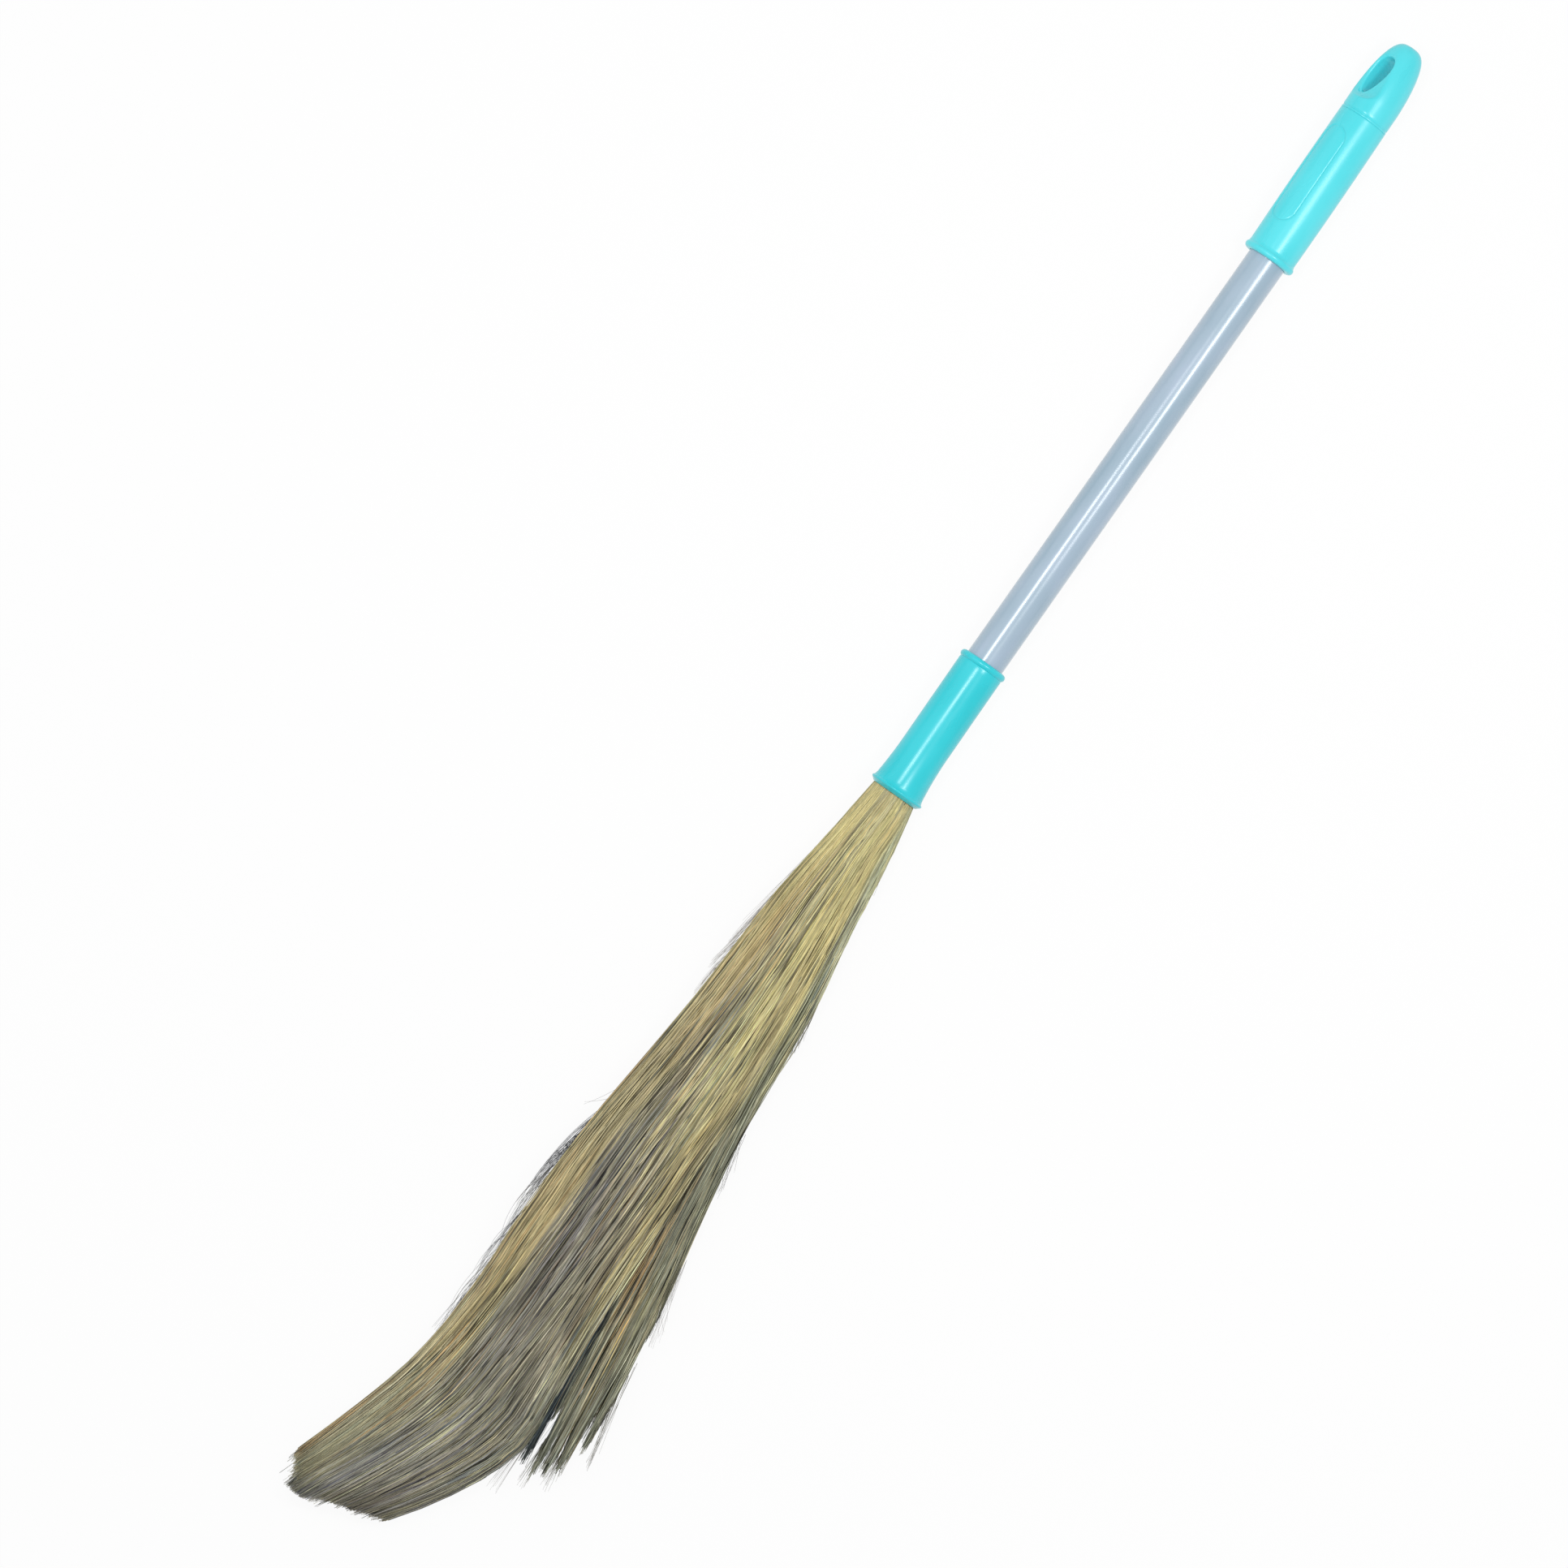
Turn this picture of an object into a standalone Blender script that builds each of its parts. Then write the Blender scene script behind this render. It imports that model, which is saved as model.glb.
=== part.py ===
"""Straw broom lying on the floor, in metres with +Z up.

+X runs along the handle, from the tips of the straw to the hanging end. Every piece is
modelled about the handle's axis, with X = 0 at the mouth of the ferrule, and the empty
that holds them all then sets the broom on the floor with its origin under its middle.
"""

import math
import random

import bmesh
import bpy
from mathutils import Vector
from mathutils.geometry import delaunay_2d_cdt

# Fits, cuts and facets
CLEARANCE = 0.0003
CUT_OVERRUN = 0.003
WELD = 0.000002
ROUND_SIDES = 40
SMALL_SIDES = 16
SHARP_ANGLE = math.radians(32)

# Handle tube: painted steel, open at both ends inside its fittings
TUBE_DIAMETER = 0.022
TUBE_WALL = 0.0008
TUBE_SHOWN_LENGTH = 0.263
TUBE_DEPTH_IN_FERRULE = 0.045

# Grip sleeve: moulded round the top of the tube
SLEEVE_LENGTH = 0.091
SLEEVE_WALL = 0.0028
SLEEVE_SWELL = 0.0003
SLEEVE_SHOULDER_ROUND = 0.0014
SLEEVE_BEAD_LENGTH = 0.0042
SLEEVE_BEAD_STANDOUT = 0.0011

# Bare panel sunk in the sleeve, on the side that the eye faces, a little nearer the top
PANEL_LENGTH = 0.060
PANEL_WIDTH = 0.0156
PANEL_DEPTH = 0.0004
PANEL_FROM_JOINT = 0.0405
PANEL_TURN = math.radians(40)

# Hanging end: a bullet-shaped cap with a spigot in the tube, two flat cheeks and an eye
HANG_LENGTH = 0.0467
HANG_STRAIGHT_LENGTH = 0.0115
NOSE_LENGTH_POWER = 1.65
NOSE_RADIUS_POWER = 3.5
NOSE_RINGS = 11
NECK_RING_LENGTH = 0.0012
NECK_GROOVE_WIDTH = 0.0011
NECK_GROOVE_DEPTH = 0.0005
SPIGOT_LENGTH = 0.025
SPIGOT_WALL = 0.0022
SPIGOT_CHAMFER = 0.0008
CHEEK_THICKNESS = 0.020
CHEEK_FROM_JOINT = 0.0125
CHEEK_RUNOUT_RADIUS = 0.0042
EYE_LENGTH = 0.025
EYE_WIDTH = 0.011
EYE_EDGE_ROUND = 0.0012
EYE_FROM_JOINT = 0.0246
EYE_TURN = math.radians(48)

# Ferrule: the tube's seat above, the straw's socket below, a stop ring between them
FERRULE_LENGTH = 0.086
FERRULE_SEAT_WALL = 0.00185
FERRULE_SOCKET_WALL = 0.00125
FERRULE_BEAD_LENGTH = 0.0042
FERRULE_BEAD_STANDOUT = 0.0009
FLARE_LENGTH = 0.030
FLARE_STANDOUT = 0.0016
RIM_STANDOUT = 0.00275
RIM_ROUND = 0.0024
RIM_STEP_LENGTH = 0.0007
RIM_STEP_DEPTH = 0.0004
MOUTH_TAPER_LENGTH = 0.012
STOP_LENGTH = 0.002
STOP_LIP = 0.0014

# Wedge plug: a wooden dowel in the tube, with a spike that spreads the stalks
PLUG_LENGTH = 0.024
SPIKE_DIAMETER = 0.0052
SPIKE_INSET = 0.006
SPIKE_POINT_LENGTH = 0.012

# Nail: through ferrule and tube into the plug, from the side that lies down
NAIL_DIAMETER = 0.002
NAIL_HEAD_DIAMETER = 0.0048
NAIL_HEAD_HEIGHT = 0.0006
NAIL_DEPTH_IN_PLUG = 0.006
NAIL_POINT_LENGTH = 0.0025

# Binding wire: one wire wound round the root ends of all tufts
WIRE_DIAMETER = 0.0012
WIRE_TURNS = 4
WIRE_TURN_GAP = 0.0013
WIRE_POINTS_A_TURN = 24
WIRE_FROM_ROOT_END = 0.006

# Straw: tufts in two rings, each a root slice with its stalks
STRAW_LENGTH = 0.488
FAN_WIDTH = 0.112
FAN_THICKNESS = 0.031
STALK_DEPTH = 0.0005
STALK_GAP = 0.00012
ROOT_INSET = 0.014
INNER_TUFTS = 6
OUTER_TUFTS = 12
INNER_ROWS = (3, 5, 6)
OUTER_ROWS = (4, 4, 5, 5)
INNER_RING_SHARE = 0.475
TIP_SCATTER_SHARE = 0.025

# Stalks left of this share of the bundle sweep aside at the tips, the rest run straight
SPLIT_SHARE = -0.46
# Places along the straw, as shares of its length
STATION_SHARES = (0.245, 0.715, 0.885, 1.0)
# The fan's edges there, and the edges of its two halves, as shares of its width
LEFT_EDGE_SHARES = (0.216, 0.302, 0.42, 0.585)
SWEPT_EDGE_SHARES = (-0.153, -0.368, -0.25, 0.08)
STRAIGHT_EDGE_SHARES = (-0.153, -0.38, -0.392, -0.41)
RIGHT_EDGE_SHARES = (-0.289, -0.582, -0.6875, -0.76)
# Half the fan's thickness there, and its middle's height over the axis
HALF_THICKNESS_SHARES = (0.50, 0.41, 0.31, 0.21)
HEIGHT_SHARES = (0.02, -0.09, -0.19, -0.29)
# How far the stalks of a tuft draw together there into a lock
LOCK_SHARES = (0.0, 0.0, 0.12, 0.3)
# Where the stalks end: the left edge, the longest, the split; the split, the right edge
SWEPT_LENGTH_SHARES = (0.968, 1.0, 0.974)
LONGEST_STALK_SHARE = 0.55
STRAIGHT_LENGTH_SHARES = (0.845, 0.765)

# Sizes that follow
TUBE_RADIUS = TUBE_DIAMETER / 2
TUBE_BORE_RADIUS = TUBE_RADIUS - TUBE_WALL
SEAT_RADIUS = TUBE_RADIUS + CLEARANCE
SLEEVE_RADIUS = SEAT_RADIUS + SLEEVE_WALL
FERRULE_RADIUS = SEAT_RADIUS + FERRULE_SEAT_WALL
SOCKET_RADIUS = FERRULE_RADIUS - FERRULE_SOCKET_WALL
STOP_RADIUS = TUBE_RADIUS - STOP_LIP
SPIKE_RADIUS = SPIKE_DIAMETER / 2
BUNDLE_RADIUS = SOCKET_RADIUS - CLEARANCE - WIRE_DIAMETER - CLEARANCE
CORE_RADIUS = SPIKE_RADIUS + CLEARANCE
TUBE_START = FERRULE_LENGTH - TUBE_DEPTH_IN_FERRULE
STOP_START = TUBE_START - CLEARANCE - STOP_LENGTH
ROOT_END = STOP_START - CLEARANCE
SLEEVE_START = FERRULE_LENGTH + TUBE_SHOWN_LENGTH
JOINT = SLEEVE_START + SLEEVE_LENGTH
HANG_END = JOINT + HANG_LENGTH
EYE_AXIS = Vector((0, math.sin(EYE_TURN), math.cos(EYE_TURN)))
EYE_ACROSS = Vector((0, math.cos(EYE_TURN), -math.sin(EYE_TURN)))
PANEL_AXIS = Vector((0, math.sin(PANEL_TURN), math.cos(PANEL_TURN)))
PANEL_ACROSS = Vector((0, math.cos(PANEL_TURN), -math.sin(PANEL_TURN)))

# Colours as linear RGB, with roughness and metallic
AQUA = ((0.12, 0.76, 0.82), 0.28, 0.0)
DEEP_AQUA = ((0.06, 0.69, 0.76), 0.28, 0.0)
TUBE_PAINT = ((0.37, 0.48, 0.60), 0.32, 0.0)
WOOD = ((0.55, 0.38, 0.20), 0.7, 0.0)
STEEL = ((0.55, 0.55, 0.56), 0.35, 1.0)
STRAW_COLOURS = (
    ((0.42, 0.37, 0.19), 0.75, 0.0),
    ((0.33, 0.31, 0.17), 0.75, 0.0),
    ((0.24, 0.22, 0.15), 0.75, 0.0),
)


def clear_scene():
    for obj in list(bpy.data.objects):
        bpy.data.objects.remove(obj, do_unlink=True)


def finish_of(name, look):
    """A Principled material from a colour, a roughness and a metallic value."""
    colour, roughness, metallic = look
    material = bpy.data.materials.new(name)
    material.use_nodes = True
    shader = material.node_tree.nodes["Principled BSDF"]
    shader.inputs["Base Color"].default_value = (*colour, 1.0)
    shader.inputs["Roughness"].default_value = roughness
    shader.inputs["Metallic"].default_value = metallic
    material.diffuse_color = (*colour, 1.0)
    return material


def add_object(name, data, broom, look=None):
    """A new object under the empty: a piece with its look, or a cutter without one."""
    obj = bpy.data.objects.new(name, data)
    bpy.context.scene.collection.objects.link(obj)
    obj.parent = broom
    if look is None:
        obj.hide_render = True
        obj.display_type = "WIRE"
    else:
        data.materials.append(finish_of(name, look))
    return obj


def mesh_of(name, bm):
    """The finished mesh of a closed body, shaded smooth except at its sharp edges."""
    bmesh.ops.recalc_face_normals(bm, faces=bm.faces)
    mesh = bpy.data.meshes.new(name)
    bm.to_mesh(mesh)
    bm.free()
    mesh.shade_smooth()
    mesh.set_sharp_from_angle(angle=SHARP_ANGLE)
    return mesh


def turned(name, outline, sides=ROUND_SIDES):
    """A body turned about the X axis from (along, radius) points.

    An outline that starts and ends on the axis is left open there; any other is closed.
    """
    bm = bmesh.new()
    verts = [bm.verts.new((x, 0, radius)) for x, radius in outline]
    last = verts[:1] if outline[0][1] > 0 else []
    edges = [bm.edges.new(pair) for pair in zip(verts, verts[1:] + last)]
    bmesh.ops.spin(
        bm, geom=verts + edges, cent=(0, 0, 0), axis=(1, 0, 0),
        angle=math.tau, steps=sides, use_merge=True,
    )
    bmesh.ops.remove_doubles(bm, verts=bm.verts, dist=WELD)
    return mesh_of(name, bm)


def lofted(name, loops):
    """A closed body through loops that have the same number of points."""
    bm = bmesh.new()
    rings = [[bm.verts.new(point) for point in loop] for loop in loops]
    for ring, following in zip(rings, rings[1:]):
        for i, vert in enumerate(ring):
            bm.faces.new((ring[i - 1], vert, following[i], following[i - 1]))
    bm.faces.new(rings[0])
    bm.faces.new(rings[-1])
    return mesh_of(name, bm)


def arc(x, radius, size, start, end, steps):
    """Points on a round edge about (x, radius), by degrees from +X towards the outside."""
    angles = [math.radians(start + (end - start) * i / steps) for i in range(steps + 1)]
    return [(x + size * math.cos(a), radius + size * math.sin(a)) for a in angles]


def stadium(x, length, width, height, axis=EYE_AXIS, across=EYE_ACROSS, steps=8):
    """A loop with round ends, square to an axis at a height along it."""
    points = []
    for end in (0, 1):
        centre = x + (length - width) / 2 * (1 - 2 * end)
        for i in range(steps + 1):
            angle = math.pi * (end - 0.5 + i / steps)
            along = Vector((centre + width / 2 * math.cos(angle), 0, 0))
            aside = across * (width / 2 * math.sin(angle))
            points.append(along + aside + axis * height)
    return points


def cut(piece, cutter):
    modifier = piece.modifiers.new(cutter.name, "BOOLEAN")
    modifier.operation = "DIFFERENCE"
    modifier.solver = "EXACT"
    modifier.object = cutter


def handle_tube(broom):
    end = JOINT - CLEARANCE
    outline = [
        (TUBE_START, TUBE_BORE_RADIUS), (TUBE_START, TUBE_RADIUS),
        (end, TUBE_RADIUS), (end, TUBE_BORE_RADIUS),
    ]
    return add_object("handle_tube", turned("handle_tube", outline), broom, TUBE_PAINT)


def sleeve_outer(inset=0.0):
    """The sleeve's outer line, from its bead up to its shoulder, or one sunk below it."""
    end = JOINT - CLEARANCE
    bead = SLEEVE_BEAD_LENGTH / 2
    flat = SLEEVE_RADIUS + SLEEVE_BEAD_STANDOUT - bead
    points = arc(SLEEVE_START + bead, flat, bead, 180, 40, 6)
    body_start = SLEEVE_START + SLEEVE_BEAD_LENGTH + SLEEVE_BEAD_STANDOUT
    body_length = end - SLEEVE_SHOULDER_ROUND - body_start
    for i in range(7):
        swell = SLEEVE_SWELL * math.sin(math.pi * i / 7)
        points.append((body_start + body_length * i / 7, SLEEVE_RADIUS + swell))
    points += arc(
        end - SLEEVE_SHOULDER_ROUND, SLEEVE_RADIUS - SLEEVE_SHOULDER_ROUND,
        SLEEVE_SHOULDER_ROUND, 90, 0, 3,
    )
    return [(x, radius - inset) for x, radius in points]


def grip_sleeve(broom):
    outer = sleeve_outer()
    outline = [(SLEEVE_START, SEAT_RADIUS)] + outer + [(outer[-1][0], SEAT_RADIUS)]
    sleeve = add_object("grip_sleeve", turned("grip_sleeve", outline), broom, AQUA)
    # The panel's floor follows the sleeve: its cutter is hollowed by a sunken sleeve
    sunk = sleeve_outer(PANEL_DEPTH)
    core_line = [(sunk[0][0], 0)] + sunk + [(sunk[-1][0], 0)]
    core = add_object("panel_floor", turned("panel_floor", core_line), broom)
    middle = JOINT - PANEL_FROM_JOINT
    top = SLEEVE_RADIUS + CUT_OVERRUN
    loops = [
        stadium(middle, PANEL_LENGTH, PANEL_WIDTH, height, PANEL_AXIS, PANEL_ACROSS)
        for height in (TUBE_RADIUS, top)
    ]
    cutter = add_object("panel_cutter", lofted("panel_cutter", loops), broom)
    cut(cutter, core)
    cut(sleeve, cutter)
    return sleeve


def hang_outline():
    """From the closed end of the hollow spigot, round it, over the neck and to the nose."""
    spigot = TUBE_BORE_RADIUS - CLEARANCE
    hollow = spigot - SPIGOT_WALL
    low = JOINT - SPIGOT_LENGTH
    groove = JOINT + NECK_RING_LENGTH
    body = groove + NECK_GROOVE_WIDTH
    neck = SLEEVE_RADIUS - NECK_GROOVE_DEPTH
    outline = [
        (JOINT, 0), (JOINT, hollow), (low, hollow), (low, spigot - SPIGOT_CHAMFER),
        (low + SPIGOT_CHAMFER, spigot), (JOINT, spigot),
        (JOINT, neck), (JOINT + NECK_RING_LENGTH / 2, SLEEVE_RADIUS - NECK_GROOVE_DEPTH / 3),
        (groove, neck), (groove + NECK_GROOVE_WIDTH / 2, neck - NECK_GROOVE_DEPTH / 2),
        (body, neck + NECK_GROOVE_DEPTH / 2), (body + NECK_GROOVE_DEPTH, SLEEVE_RADIUS),
    ]
    nose = HANG_LENGTH - HANG_STRAIGHT_LENGTH
    for i in range(NOSE_RINGS + 1):
        share = math.sin(math.pi / 2 * i / NOSE_RINGS)
        radius = SLEEVE_RADIUS * (1 - share**NOSE_LENGTH_POWER) ** (1 / NOSE_RADIUS_POWER)
        outline.append((JOINT + HANG_STRAIGHT_LENGTH + nose * share, radius))
    outline[-1] = (HANG_END, 0)
    return outline


def cheek_cutter(side):
    """A block that leaves one flat cheek, run out in a hollow curve at its lower end."""
    flat = CHEEK_THICKNESS / 2
    top = SLEEVE_RADIUS + CUT_OVERRUN
    start = JOINT + CHEEK_FROM_JOINT
    end = HANG_END + CUT_OVERRUN
    curve = arc(start, flat + CHEEK_RUNOUT_RADIUS, CHEEK_RUNOUT_RADIUS, 270, 180, 5)
    profile = [(end, flat)] + curve
    profile += [(start - CHEEK_RUNOUT_RADIUS, top), (end, top)]
    return [
        [Vector((x, 0, 0)) + EYE_AXIS * side * height + EYE_ACROSS * across
         for x, height in profile]
        for across in (-top, top)
    ]


def eye_loops():
    """The eye from face to face, with both its edges rounded over."""
    face = CHEEK_THICKNESS / 2
    steps = 3
    half = [(face + CUT_OVERRUN, EYE_EDGE_ROUND)]
    for i in range(steps + 1):
        angle = math.pi / 2 * i / steps
        depth = EYE_EDGE_ROUND * (1 - math.cos(angle))
        half.append((face - depth, EYE_EDGE_ROUND * (1 - math.sin(angle))))
    stations = half + [(-height, grow) for height, grow in reversed(half)]
    middle = JOINT + EYE_FROM_JOINT
    return [
        stadium(middle, EYE_LENGTH + 2 * grow, EYE_WIDTH + 2 * grow, height)
        for height, grow in stations
    ]


def hang_end(broom):
    end = add_object("hang_end", turned("hang_end", hang_outline()), broom, AQUA)
    for name, side in (("cheek_cutter_front", 1), ("cheek_cutter_back", -1)):
        cut(end, add_object(name, lofted(name, cheek_cutter(side)), broom))
    cut(end, add_object("eye_cutter", lofted("eye_cutter", eye_loops()), broom))
    return end


def ferrule(broom):
    rim_middle = RIM_ROUND
    mouth = FERRULE_RADIUS + RIM_STANDOUT - RIM_ROUND
    rim = arc(rim_middle, mouth, RIM_ROUND, 180, 35, 8)
    step = rim[-1][0] + RIM_STEP_LENGTH
    outline = rim + [(rim[-1][0], rim[-1][1] - RIM_STEP_DEPTH)]
    for i in range(6):
        share = 1 - i / 5
        along = step + (FLARE_LENGTH - step) * i / 5
        outline.append((along, FERRULE_RADIUS + FLARE_STANDOUT * share**2))
    bead = FERRULE_BEAD_LENGTH / 2
    bead_radius = FERRULE_RADIUS + FERRULE_BEAD_STANDOUT
    outline.append((FERRULE_LENGTH - FERRULE_BEAD_LENGTH - FERRULE_BEAD_STANDOUT, FERRULE_RADIUS))
    outline += arc(FERRULE_LENGTH - bead, bead_radius - bead, bead, 140, 20, 5)
    outline += [
        (FERRULE_LENGTH, SEAT_RADIUS), (TUBE_START - CLEARANCE, SEAT_RADIUS),
        (TUBE_START - CLEARANCE, STOP_RADIUS), (STOP_START, STOP_RADIUS),
        (STOP_START, SOCKET_RADIUS), (MOUTH_TAPER_LENGTH, SOCKET_RADIUS),
    ]
    piece = add_object("ferrule", turned("ferrule", outline), broom, DEEP_AQUA)
    return piece


def wedge_plug(broom):
    top = TUBE_START + PLUG_LENGTH
    plug = TUBE_BORE_RADIUS - CLEARANCE
    outline = [
        (SPIKE_INSET, 0), (SPIKE_INSET + SPIKE_POINT_LENGTH, SPIKE_RADIUS),
        (TUBE_START, SPIKE_RADIUS), (TUBE_START, plug), (top, plug), (top, 0),
    ]
    return add_object("wedge_plug", turned("wedge_plug", outline), broom, WOOD)


def nail(broom, pierced):
    """A nail driven up through the ferrule and the tube into the plug, and its hole."""
    plug = TUBE_BORE_RADIUS - CLEARANCE
    point = plug - NAIL_DEPTH_IN_PLUG
    head = FERRULE_RADIUS + CLEARANCE
    shank = NAIL_DIAMETER / 2
    hole = shank + CLEARANCE
    outline = [
        (point, 0), (point + NAIL_POINT_LENGTH, shank), (head, shank),
        (head, NAIL_HEAD_DIAMETER / 2),
        (head + NAIL_HEAD_HEIGHT / 2, NAIL_HEAD_DIAMETER / 2),
        (head + NAIL_HEAD_HEIGHT, NAIL_HEAD_DIAMETER / 3), (head + NAIL_HEAD_HEIGHT, 0),
    ]
    piece = add_object("ferrule_nail", turned("ferrule_nail", outline, SMALL_SIDES), broom, STEEL)
    end = point - CLEARANCE
    top = head + CUT_OVERRUN
    bore = [(end, 0), (end, hole), (top, hole), (top, 0)]
    cutter = add_object("nail_hole_cutter", turned("nail_hole_cutter", bore, SMALL_SIDES), broom)
    for obj in (piece, cutter):
        obj.location.x = TUBE_START + PLUG_LENGTH / 2
        obj.rotation_euler.y = math.pi / 2
    for obj in pierced:
        cut(obj, cutter)
    return piece


def binding_wire(broom):
    """One wire wound in a helix round the tufts, with straight ends of one diameter."""
    radius = BUNDLE_RADIUS + CLEARANCE + WIRE_DIAMETER / 2
    pitch = WIRE_DIAMETER + WIRE_TURN_GAP
    start = ROOT_END - WIRE_FROM_ROOT_END - pitch * WIRE_TURNS
    points = []
    for i in range(WIRE_TURNS * WIRE_POINTS_A_TURN + 1):
        turn = i / WIRE_POINTS_A_TURN
        angle = math.tau * turn
        points.append(
            Vector((start + pitch * turn, radius * math.cos(angle), radius * math.sin(angle)))
        )
    gap = min(
        (a - b).length
        for i, a in enumerate(points)
        for b in points[i + WIRE_POINTS_A_TURN // 2 :]
    )
    print(f"binding wire: least gap to itself {1000 * (gap - WIRE_DIAMETER):.2f} mm")
    curve = bpy.data.curves.new("binding_wire", "CURVE")
    curve.dimensions = "3D"
    curve.bevel_depth = WIRE_DIAMETER / 2
    curve.bevel_resolution = 1
    curve.use_fill_caps = True
    spline = curve.splines.new("POLY")
    spline.points.add(len(points) - 1)
    for spline_point, point in zip(spline.points, points):
        spline_point.co = (*point, 1.0)
    return add_object("binding_wire", curve, broom, STEEL)


def along_shares(share, values):
    """The value at a share of the straw's length, between those at its stations."""
    pairs = list(zip(STATION_SHARES, values))
    for (a, low), (b, high) in zip(pairs, pairs[1:]):
        if share <= b:
            return low + (high - low) * (share - a) / (b - a)
    return values[-1]


def straw_place(share, spot, swept):
    """Where a spot of the bundle's unit disc lies, at a share of the straw's length."""
    left, right = (
        (LEFT_EDGE_SHARES, SWEPT_EDGE_SHARES) if swept
        else (STRAIGHT_EDGE_SHARES, RIGHT_EDGE_SHARES)
    )
    edge_left = along_shares(share, left) * FAN_WIDTH
    edge_right = along_shares(share, right) * FAN_WIDTH
    part = (spot[0] - SPLIT_SHARE) / (1 - SPLIT_SHARE) if swept else (
        (spot[0] + 1) / (SPLIT_SHARE + 1)
    )
    half_thickness = along_shares(share, HALF_THICKNESS_SHARES) * FAN_THICKNESS
    height = along_shares(share, HEIGHT_SHARES) * FAN_THICKNESS
    return Vector((
        -share * STRAW_LENGTH,
        edge_right + (edge_left - edge_right) * part,
        height + half_thickness * spot[1],
    ))


def stalk_share(across, swept, scatter):
    """The share of the straw's length at which a stalk ends, by its place across the fan."""
    if not swept:
        part = (across + 1) / (SPLIT_SHARE + 1)
        at_split, at_edge = STRAIGHT_LENGTH_SHARES
        return (at_edge + (at_split - at_edge) * part) * (1 - scatter)
    at_edge, longest, at_split = SWEPT_LENGTH_SHARES
    if across > LONGEST_STALK_SHARE:
        part = (across - LONGEST_STALK_SHARE) / (1 - LONGEST_STALK_SHARE)
        return (longest + (at_edge - longest) * part) * (1 - scatter)
    part = (across - SPLIT_SHARE) / (LONGEST_STALK_SHARE - SPLIT_SHARE)
    return (at_split + (longest - at_split) * part) * (1 - scatter)


def slice_outline(inner, outer, start, sweep):
    """A ring slice seen along the axis, kept half a clearance off its neighbours."""
    points = []
    for radius, direction in ((outer, 1), (inner, -1)):
        inset = math.asin(CLEARANCE / 2 / radius)
        steps = max(2, round(sweep * radius / outer / math.radians(12)))
        for i in range(steps + 1):
            share = i / steps if direction > 0 else 1 - i / steps
            angle = start + inset + (sweep - 2 * inset) * share
            points.append(Vector((radius * math.cos(angle), radius * math.sin(angle))))
    return points


def stalk_roots(inner, outer, start, sweep, rows):
    """The stalks' triangles on a slice, edge up, in rows that they fill evenly."""
    triangles = []
    for row, count in enumerate(rows):
        radius = inner + (outer - inner) * (row + 0.5) / len(rows)
        inset = math.asin(CLEARANCE / 2 / radius)
        step = (sweep - 2 * inset) / count
        half_width = (radius * step - STALK_GAP) / 2
        for i in range(count):
            angle = start + inset + step * (i + 0.5)
            outward = Vector((math.cos(angle), math.sin(angle)))
            across = Vector((-math.sin(angle), math.cos(angle))) * half_width
            middle = outward * radius
            base = middle - outward * STALK_DEPTH / 3
            apex = middle + outward * STALK_DEPTH * 2 / 3
            triangles.append((middle, (apex, base + across, base - across)))
    return triangles


def stalk_stations(tip_share):
    return [share for share in STATION_SHARES if share < tip_share]


def tuft(name, broom, ring, sector, look, chance):
    """A slice of the root ring with its stalks, as one closed body.

    A stalk is a small triangle of the bundle's unit disc, carried along the straw by one
    map for all stalks, so that no two of them can meet.
    """
    inner, outer, rows = ring
    start, sweep = sector
    outline = slice_outline(inner, outer, start, sweep)
    stalks = stalk_roots(inner, outer, start, sweep, rows)
    lock = sum((middle for middle, _ in stalks), Vector((0, 0))) / len(stalks) / BUNDLE_RADIUS
    flat = outline + [corner for _, triangle in stalks for corner in triangle]
    loops = [list(range(len(outline)))]
    loops += [
        [len(outline) + 3 * i + k for k in range(3)] for i in range(len(stalks))
    ]
    _, _, faces, _, _, sources = delaunay_2d_cdt(flat, [], loops, 1, WELD)
    bm = bmesh.new()
    front = [bm.verts.new((ROOT_INSET, *point)) for point in flat]
    back = [bm.verts.new((ROOT_END, *point)) for point in outline]
    for face, source in zip(faces, sources):
        if source == [0]:
            bm.faces.new([front[i] for i in face])
    bm.faces.new(back)
    rim = front[: len(outline)]
    for i in range(len(outline)):
        bm.faces.new((rim[i - 1], rim[i], back[i], back[i - 1]))
    for i, (middle, triangle) in enumerate(stalks):
        swept = middle.x / BUNDLE_RADIUS > SPLIT_SHARE
        scatter = chance.uniform(0, TIP_SCATTER_SHARE)
        tip_share = stalk_share(middle.x / BUNDLE_RADIUS, swept, scatter)
        first = len(outline) + 3 * i
        ring_verts = front[first : first + 3]
        for share in stalk_stations(tip_share):
            drawn = along_shares(share, LOCK_SHARES)
            spots = [(corner / BUNDLE_RADIUS).lerp(lock, drawn) for corner in triangle]
            following = [bm.verts.new(straw_place(share, spot, swept)) for spot in spots]
            for k in range(3):
                bm.faces.new((ring_verts[k - 1], ring_verts[k], following[k], following[k - 1]))
            ring_verts = following
        drawn = along_shares(tip_share, LOCK_SHARES)
        spot = (middle / BUNDLE_RADIUS).lerp(lock, drawn)
        tip = bm.verts.new(straw_place(tip_share, spot, swept))
        for k in range(3):
            bm.faces.new((ring_verts[k - 1], ring_verts[k], tip))
    return add_object(name, mesh_of(name, bm), broom, look)


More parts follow.
